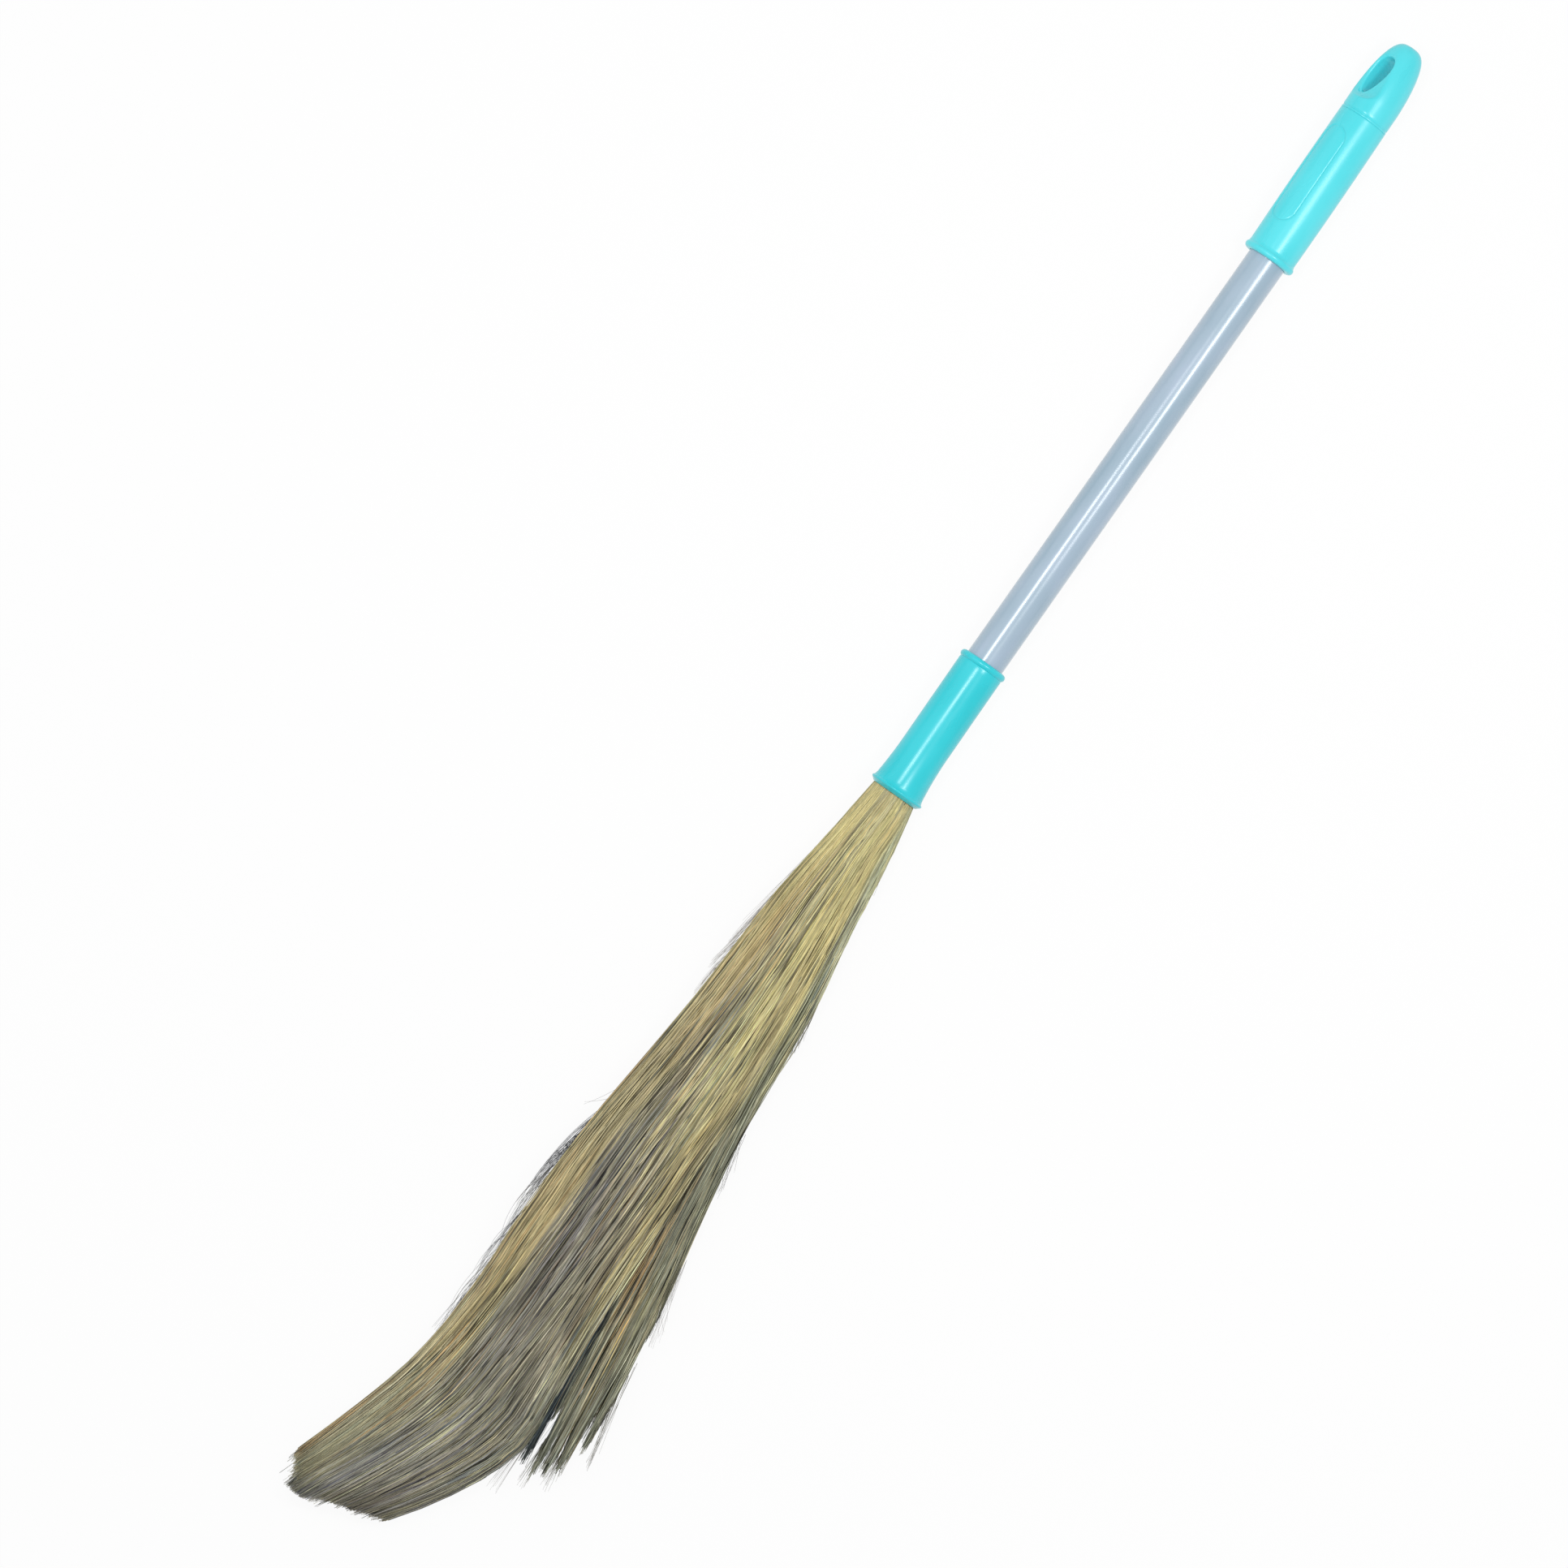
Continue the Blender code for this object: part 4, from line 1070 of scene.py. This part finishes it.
def loose_stalks(chance):
    """Middles, widths and colours of the loose stalks, and whether they are on the left."""
    share = np.linspace(0, 1, INNER_POINTS)[None]
    middles = []
    colours = []
    left = []
    for count, start, end, leave, reach, bow, spread, colour in LOOSE_STALKS:
        start = start + chance.uniform(-12, 0.4 * (end - start), count)[:, None]
        end = end - np.abs(chance.normal(0, 7, count))[:, None]
        s = start + (end - start) * share
        side = math.copysign(1, leave)
        fan = chance.uniform(-1, 1, count)[:, None]
        y = leave - side * 1.6 + (reach + side * 1.6 - leave + 1.4 * fan * spread) * share
        y = y + side * bow * (1 + 0.5 * fan) * 4 * share * (1 - share)
        own = np.arange(count)
        y = y + waves(s, own, chance, 20, 60) * 0.15 * share
        z = curve(DEPTH_AT, MIDDLE_HEIGHT, s) + chance.normal(0, 1.4, count)[:, None]
        z = z + waves(s, own, chance, 30, 80) * 0.3 * share
        z = np.maximum(z, LOWEST)
        middles.append(np.stack([-s, y, z], axis=2))
        tone = np.exp(chance.normal(0, 0.15, count))[:, None, None]
        colours.append(np.array(to_linear(*colour)) * tone + np.zeros(s.shape + (3,)))
        left += [side > 0] * count
    width = LOOSE_WIDTH * (1 - 0.6 * share) + np.zeros((len(left), INNER_POINTS))
    return np.concatenate(middles), width, np.concatenate(colours), np.array(left)


def stalk_skin(middles, width, chance):
    """Corners of three-sided stalks about their middles, as an array of rings."""
    twist = chance.uniform(0, math.tau, len(middles))
    ahead = np.gradient(middles, axis=1)
    ahead /= np.linalg.norm(ahead, axis=2, keepdims=True)
    side = np.cross(ahead, np.array((0.0, 0.0, 1.0)))
    side /= np.linalg.norm(side, axis=2, keepdims=True)
    up = np.cross(side, ahead)
    rings = []
    for k in range(STALK_SIDES):
        angle = (twist + math.tau * k / STALK_SIDES)[:, None, None]
        offset = side * np.cos(angle) + up * np.sin(angle)
        rings.append(middles + offset * (width[..., None] / math.sqrt(3)))
    return np.stack(rings, axis=2)


def stalk_faces(stalks, count, first):
    """Corner numbers of the stalks' sides and ends, whose corners start at a number."""
    point = np.arange(stalks)[:, None, None] * count + np.arange(count - 1)[:, None]
    base = first + point * STALK_SIDES
    k = np.arange(STALK_SIDES)
    after = (k + 1) % STALK_SIDES
    sides = np.stack([
        base + k, base + STALK_SIDES + k, base + STALK_SIDES + after, base + after,
    ], axis=3).reshape(-1, 4)
    start = first + np.arange(stalks) * count * STALK_SIDES
    end = start + (count - 1) * STALK_SIDES
    ends = np.concatenate([
        np.stack([start, start + 1, start + 2], axis=1),
        np.stack([end + 2, end + 1, end], axis=1),
    ])
    return sides, ends


# Texture places, from 0 to 1: the stalks' strips stand in rows on top, their end caps lie at
# the bottom, and between them the root slice has its two ends and then its sides
STRIP_ROWS = 4
STRIPS_FROM = 0.10
CAPS_TO = 0.04
SLICE_FROM = 0.05
SLICE_TALL = 0.04
SLICE_END_WIDE = 0.30
SLICE_SECOND_END = 0.33
SLICE_SIDES_FROM = 0.67
SLICE_SIDES_WIDE = 0.32
CELL_SHARE = 0.9


def stalk_map(stalks, count, first, total):
    """Texture places of the corners of stalk_faces, for stalks numbered from first on."""
    columns = math.ceil(total / STRIP_ROWS)
    number = first + np.arange(stalks)
    left = (number % columns) / columns
    row = number // columns
    height = (1 - STRIPS_FROM) / STRIP_ROWS
    low = STRIPS_FROM + row * height
    k = np.arange(STALK_SIDES)
    j = np.arange(count - 1)[:, None]
    wide = CELL_SHARE / columns / STALK_SIDES
    tall = CELL_SHARE * height / (count - 1)
    corners = []
    for ahead, aside in ((0, 0), (1, 0), (1, 1), (0, 1)):
        u = left[:, None, None] + (k + aside) * wide + 0 * j
        v = low[:, None, None] + (j + ahead) * tall + 0 * k
        corners.append(np.stack([u, v], axis=3))
    sides = np.stack(corners, axis=3).reshape(-1, 2)
    cap = CAPS_TO / STRIP_ROWS / 2
    ends = []
    for end in (0, 1):
        base = np.stack([left, (2 * row + end) * cap], axis=1)[:, None]
        reach = np.array(((0, 0), (CELL_SHARE / columns, 0), (0, CELL_SHARE * cap)))
        ends.append((base + reach).reshape(-1, 2))
    return np.concatenate([sides] + ends)


def root_slice(number):
    """Corners, faces and texture places of a tuft's root slice, in millimetres."""
    half_gap = CLEARANCE / MM / 2
    if number < INNER_TUFTS:
        inner, outer, count = CORE_RADIUS, RING_RADIUS - half_gap, INNER_TUFTS
    else:
        inner, outer, count = RING_RADIUS + half_gap, BUNDLE_RADIUS, OUTER_TUFTS
        number -= INNER_TUFTS
    sweep = math.tau / count
    line = []
    for radius, steps in ((outer, range(ARC_STEPS + 1)), (inner, range(ARC_STEPS, -1, -1))):
        inset = math.asin(half_gap / radius)
        for i in steps:
            angle = sweep * number + inset + (sweep - 2 * inset) * i / ARC_STEPS
            line.append((radius * math.cos(angle), radius * math.sin(angle)))
    size = len(line)
    corners = [(ROOT_START, y, z) for y, z in line] + [(ROOT_END, y, z) for y, z in line]
    faces = [list(range(size)), list(range(2 * size - 1, size - 1, -1))]
    wide = SLICE_END_WIDE / (2 * BUNDLE_RADIUS)
    tall = SLICE_TALL / (2 * BUNDLE_RADIUS)
    flat = [
        ((y + BUNDLE_RADIUS) * wide, SLICE_FROM + (z + BUNDLE_RADIUS) * tall) for y, z in line
    ]
    places = flat + [(u + SLICE_SECOND_END, v) for u, v in reversed(flat)]
    top = SLICE_FROM + SLICE_TALL
    for i in range(size):
        after = (i + 1) % size
        faces.append([after, i, size + i, size + after])
        low = SLICE_SIDES_FROM + SLICE_SIDES_WIDE * i / size
        high = low + SLICE_SIDES_WIDE / size
        places += [(high, SLICE_FROM), (low, SLICE_FROM), (low, top), (high, top)]
    return corners, faces, places


def tuft_of(spots):
    """The tuft that each spot of the bundle's disc belongs to."""
    turn = np.arctan2(spots[:, 1], spots[:, 0]) % math.tau / math.tau
    outer = np.hypot(spots[:, 0], spots[:, 1]) > RING_RADIUS / BUNDLE_RADIUS
    number = np.where(outer, INNER_TUFTS + turn * OUTER_TUFTS, turn * INNER_TUFTS)
    return number.astype(int)


def straw_groups():
    """The tuft, the skin and the colours of all stalks, as groups of one number of points."""
    chance = np.random.default_rng(SEED)
    angle = (np.arange(SHELL_STALKS) + chance.uniform(0, 1, SHELL_STALKS)) / SHELL_STALKS
    # The shell's stalks start near the outside of the bundle
    radius = 1 - 0.17 * chance.uniform(0, 1, SHELL_STALKS) ** 1.3
    shell = np.stack([
        radius * np.cos(math.tau * angle), radius * np.sin(math.tau * angle),
    ], axis=1)
    inner = spread_spots(INNER_STALKS, SPIKE_SHARE, 0.84, chance, 0.01)
    groups = []
    for spots, count in ((shell, SHELL_POINTS), (inner, INNER_POINTS)):
        middles, width, colours = lay_stalks(spots, count, chance)
        groups.append((tuft_of(spots), stalk_skin(middles, width, chance), colours))
    middles, width, colours, left = loose_stalks(chance)
    tuft = np.where(left, INNER_TUFTS, INNER_TUFTS + OUTER_TUFTS // 2)
    groups.append((tuft, stalk_skin(middles, width, chance), colours))
    return groups


def tuft_mesh(name, number, groups):
    """One tuft: its root slice and all its stalks, with their colours and texture places."""
    block, faces, places = root_slice(number)
    corners = [np.array(block)]
    places = [np.array(places)]
    tones = [np.tile(to_linear(*STRAW_COLOURS[0]), (len(block), 1))]
    total = sum(int((tuft == number).sum()) for tuft, _, _ in groups)
    first = len(block)
    stalks = 0
    for tuft, skin, colours in groups:
        chosen = tuft == number
        part = skin[chosen]
        if len(part) == 0:
            continue
        sides, ends = stalk_faces(len(part), part.shape[1], first)
        corners.append(part.reshape(-1, 3))
        faces += sides.tolist() + ends.tolist()
        places.append(stalk_map(len(part), part.shape[1], stalks, total))
        tones.append(np.repeat(colours[chosen][:, :, None], STALK_SIDES, axis=2).reshape(-1, 3))
        first += len(corners[-1])
        stalks += len(part)
    mesh = bpy.data.meshes.new(name)
    mesh.from_pydata((np.concatenate(corners) * MM + np.array(MOUTH)).tolist(), [], faces)
    texture = mesh.uv_layers.new(name="OFBake")
    texture.uv.foreach_set("vector", np.concatenate(places).astype(np.float32).ravel())
    layer = mesh.color_attributes.new("stalk_colour", "FLOAT_COLOR", "POINT")
    tones = np.concatenate(tones)
    layer.data.foreach_set("color", np.column_stack([tones, np.ones(len(tones))]).ravel())
    mesh.shade_smooth()
    return mesh


def straw(grass):
    """A piece of stalks for each of the tufts."""
    groups = straw_groups()
    slots = ("straw_light", "straw_olive", "straw_grey")
    for ring, first, count in (("inner", 0, INNER_TUFTS), ("outer", INNER_TUFTS, OUTER_TUFTS)):
        for i in range(count):
            name = f"straw_{ring}_{i + 1:02d}"
            mesh = tuft_mesh(f"{name}_stalks", first + i, groups)
            add_piece(f"{name}_stalks", mesh, grass, slots[i % 3], name)


# Floor, lamps and world

FLOOR_REACH = 6.0
FLOOR_COLOUR = (0.86, 0.86, 0.86, 1.0)
FLOOR_GLOW = 0.93
WORLD_STRENGTH = 0.58
LAMP_HEIGHT = 1.3
# Lamps over the handle: where their glints start and end, counted from the mouth, how many
# degrees the glints lie from the top towards the sweep, and the lamps' widths and powers
STRIP_LAMPS = (
    ("strip_left", -0.005, 0.21, 6.5, 0.24, 4.0),
    ("strip_right", 0.19, 0.352, -9, 0.24, 3.0),
    ("strip_grip", 0.356, 0.385, -10, 0.62, 1.15),
    ("strip_nose", 0.385, 0.45, -6, 0.5, 1.2),
)


def make_floor():
    """A pale floor that takes shadows and shows nearly white to the camera and in glints."""
    quarters = ((-1, -1), (1, -1), (1, 1), (-1, 1))
    corners = [(x * FLOOR_REACH, y * FLOOR_REACH, 0) for x, y in quarters]
    mesh = bpy.data.meshes.new("floor")
    mesh.from_pydata(corners, [], [(0, 1, 2, 3)])
    floor = put("floor", mesh)
    floor.location.z = -0.05 * MM
    material, tree = new_material("pale_floor")
    shaded(material, Base_Color=FLOOR_COLOUR, Roughness=0.9, Specular_IOR_Level=0.1)
    rays = new_node(tree, "LightPath").outputs
    seen = rays["Is Camera Ray"]
    for name in ("Is Glossy Ray", "Is Transmission Ray"):
        either = new_node(tree, "Math")
        either.operation = "MAXIMUM"
        tree.links.new(seen, either.inputs[0])
        tree.links.new(rays[name], either.inputs[1])
        seen = either.outputs["Value"]
    mix = new_node(tree, "MixShader", Fac=map_range(tree, seen, 0, FLOOR_GLOW, 0, 1))
    tree.links.new(tree.nodes["Principled BSDF"].outputs["BSDF"], mix.inputs[1])
    tree.links.new(new_node(tree, "Emission").outputs["Emission"], mix.inputs[2])
    set_inputs(tree.nodes["Material Output"], Surface=mix.outputs["Shader"])
    mesh.materials.append(material)


def make_world():
    world = bpy.data.worlds.new("studio")
    bpy.context.scene.world = world
    world.use_nodes = True
    background = world.node_tree.nodes["Background"]
    set_inputs(background, Color=(1, 1, 1, 1), Strength=WORLD_STRENGTH)


def area_lamp(name, size, power):
    data = bpy.data.lights.new(name, "AREA")
    data.size = size
    data.energy = power
    return put(name, data)


def strip_lamp(name, start, end, degrees, width, power):
    """A long lamp over the handle, set where it gives its glint as the camera sees it."""
    scale = 1 + LAMP_HEIGHT / VIEW_DISTANCE
    lamp = area_lamp(name, (end - start) * scale, power)
    lamp.data.shape = "RECTANGLE"
    lamp.data.size_y = width
    middle = MOUTH.x + (start + end) / 2
    around = 2 * math.radians(degrees)
    lamp.location = (
        middle * scale - VIEW_CENTRE.x * LAMP_HEIGHT / VIEW_DISTANCE,
        MOUTH.y + LAMP_HEIGHT * math.sin(around), MOUTH.z + LAMP_HEIGHT * math.cos(around),
    )
    lamp.rotation_euler = (-around, 0, 0)


def fill_lamp():
    """A wide square lamp at the sweep's side that looks at the broom's middle."""
    lamp = area_lamp("fill_left", 1.5, 3.1)
    lamp.location = (0, 1.5, 1.2)
    lamp.rotation_euler = (-lamp.location).to_track_quat("-Z", "Y").to_euler()


def make_camera():
    data = bpy.data.cameras.new("camera")
    data.sensor_width = SENSOR
    data.lens = SENSOR * VIEW_DISTANCE / VIEW_WIDTH
    data.clip_end = 100.0
    camera = put("camera", data)
    right = Vector((AXIS_RIGHT, -AXIS_UP, 0))
    up = Vector((AXIS_UP, AXIS_RIGHT, 0))
    turn = Matrix((right, up, Vector((0, 0, 1)))).transposed()
    camera.matrix_world = (
        Matrix.Translation(VIEW_CENTRE + Vector((0, 0, VIEW_DISTANCE))) @ turn.to_4x4()
    )
    bpy.context.scene.camera = camera


GRIP_PLASTIC = moulded_plastic("grip_plastic", (74, 216, 226), (82, 220, 230), (91, 224, 234))
FERRULE_PLASTIC = moulded_plastic(
    "ferrule_plastic", (34, 200, 211), (42, 205, 216), (56, 209, 221)
)
STEEL = drawn_steel()

ferrule(FERRULE_PLASTIC)
handle_tube(painted_steel())
grip_sleeve(GRIP_PLASTIC)
hang_end(GRIP_PLASTIC)
nail(STEEL)
binding_wire(STEEL)
for plug_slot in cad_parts["wedge_plug"].material_slots:
    plug_slot.material = turned_wood()

straw(dry_grass())

make_floor()
make_world()
fill_lamp()
for strip in STRIP_LAMPS:
    strip_lamp(*strip)
make_camera()
bpy.context.scene.view_settings.view_transform = "Standard"
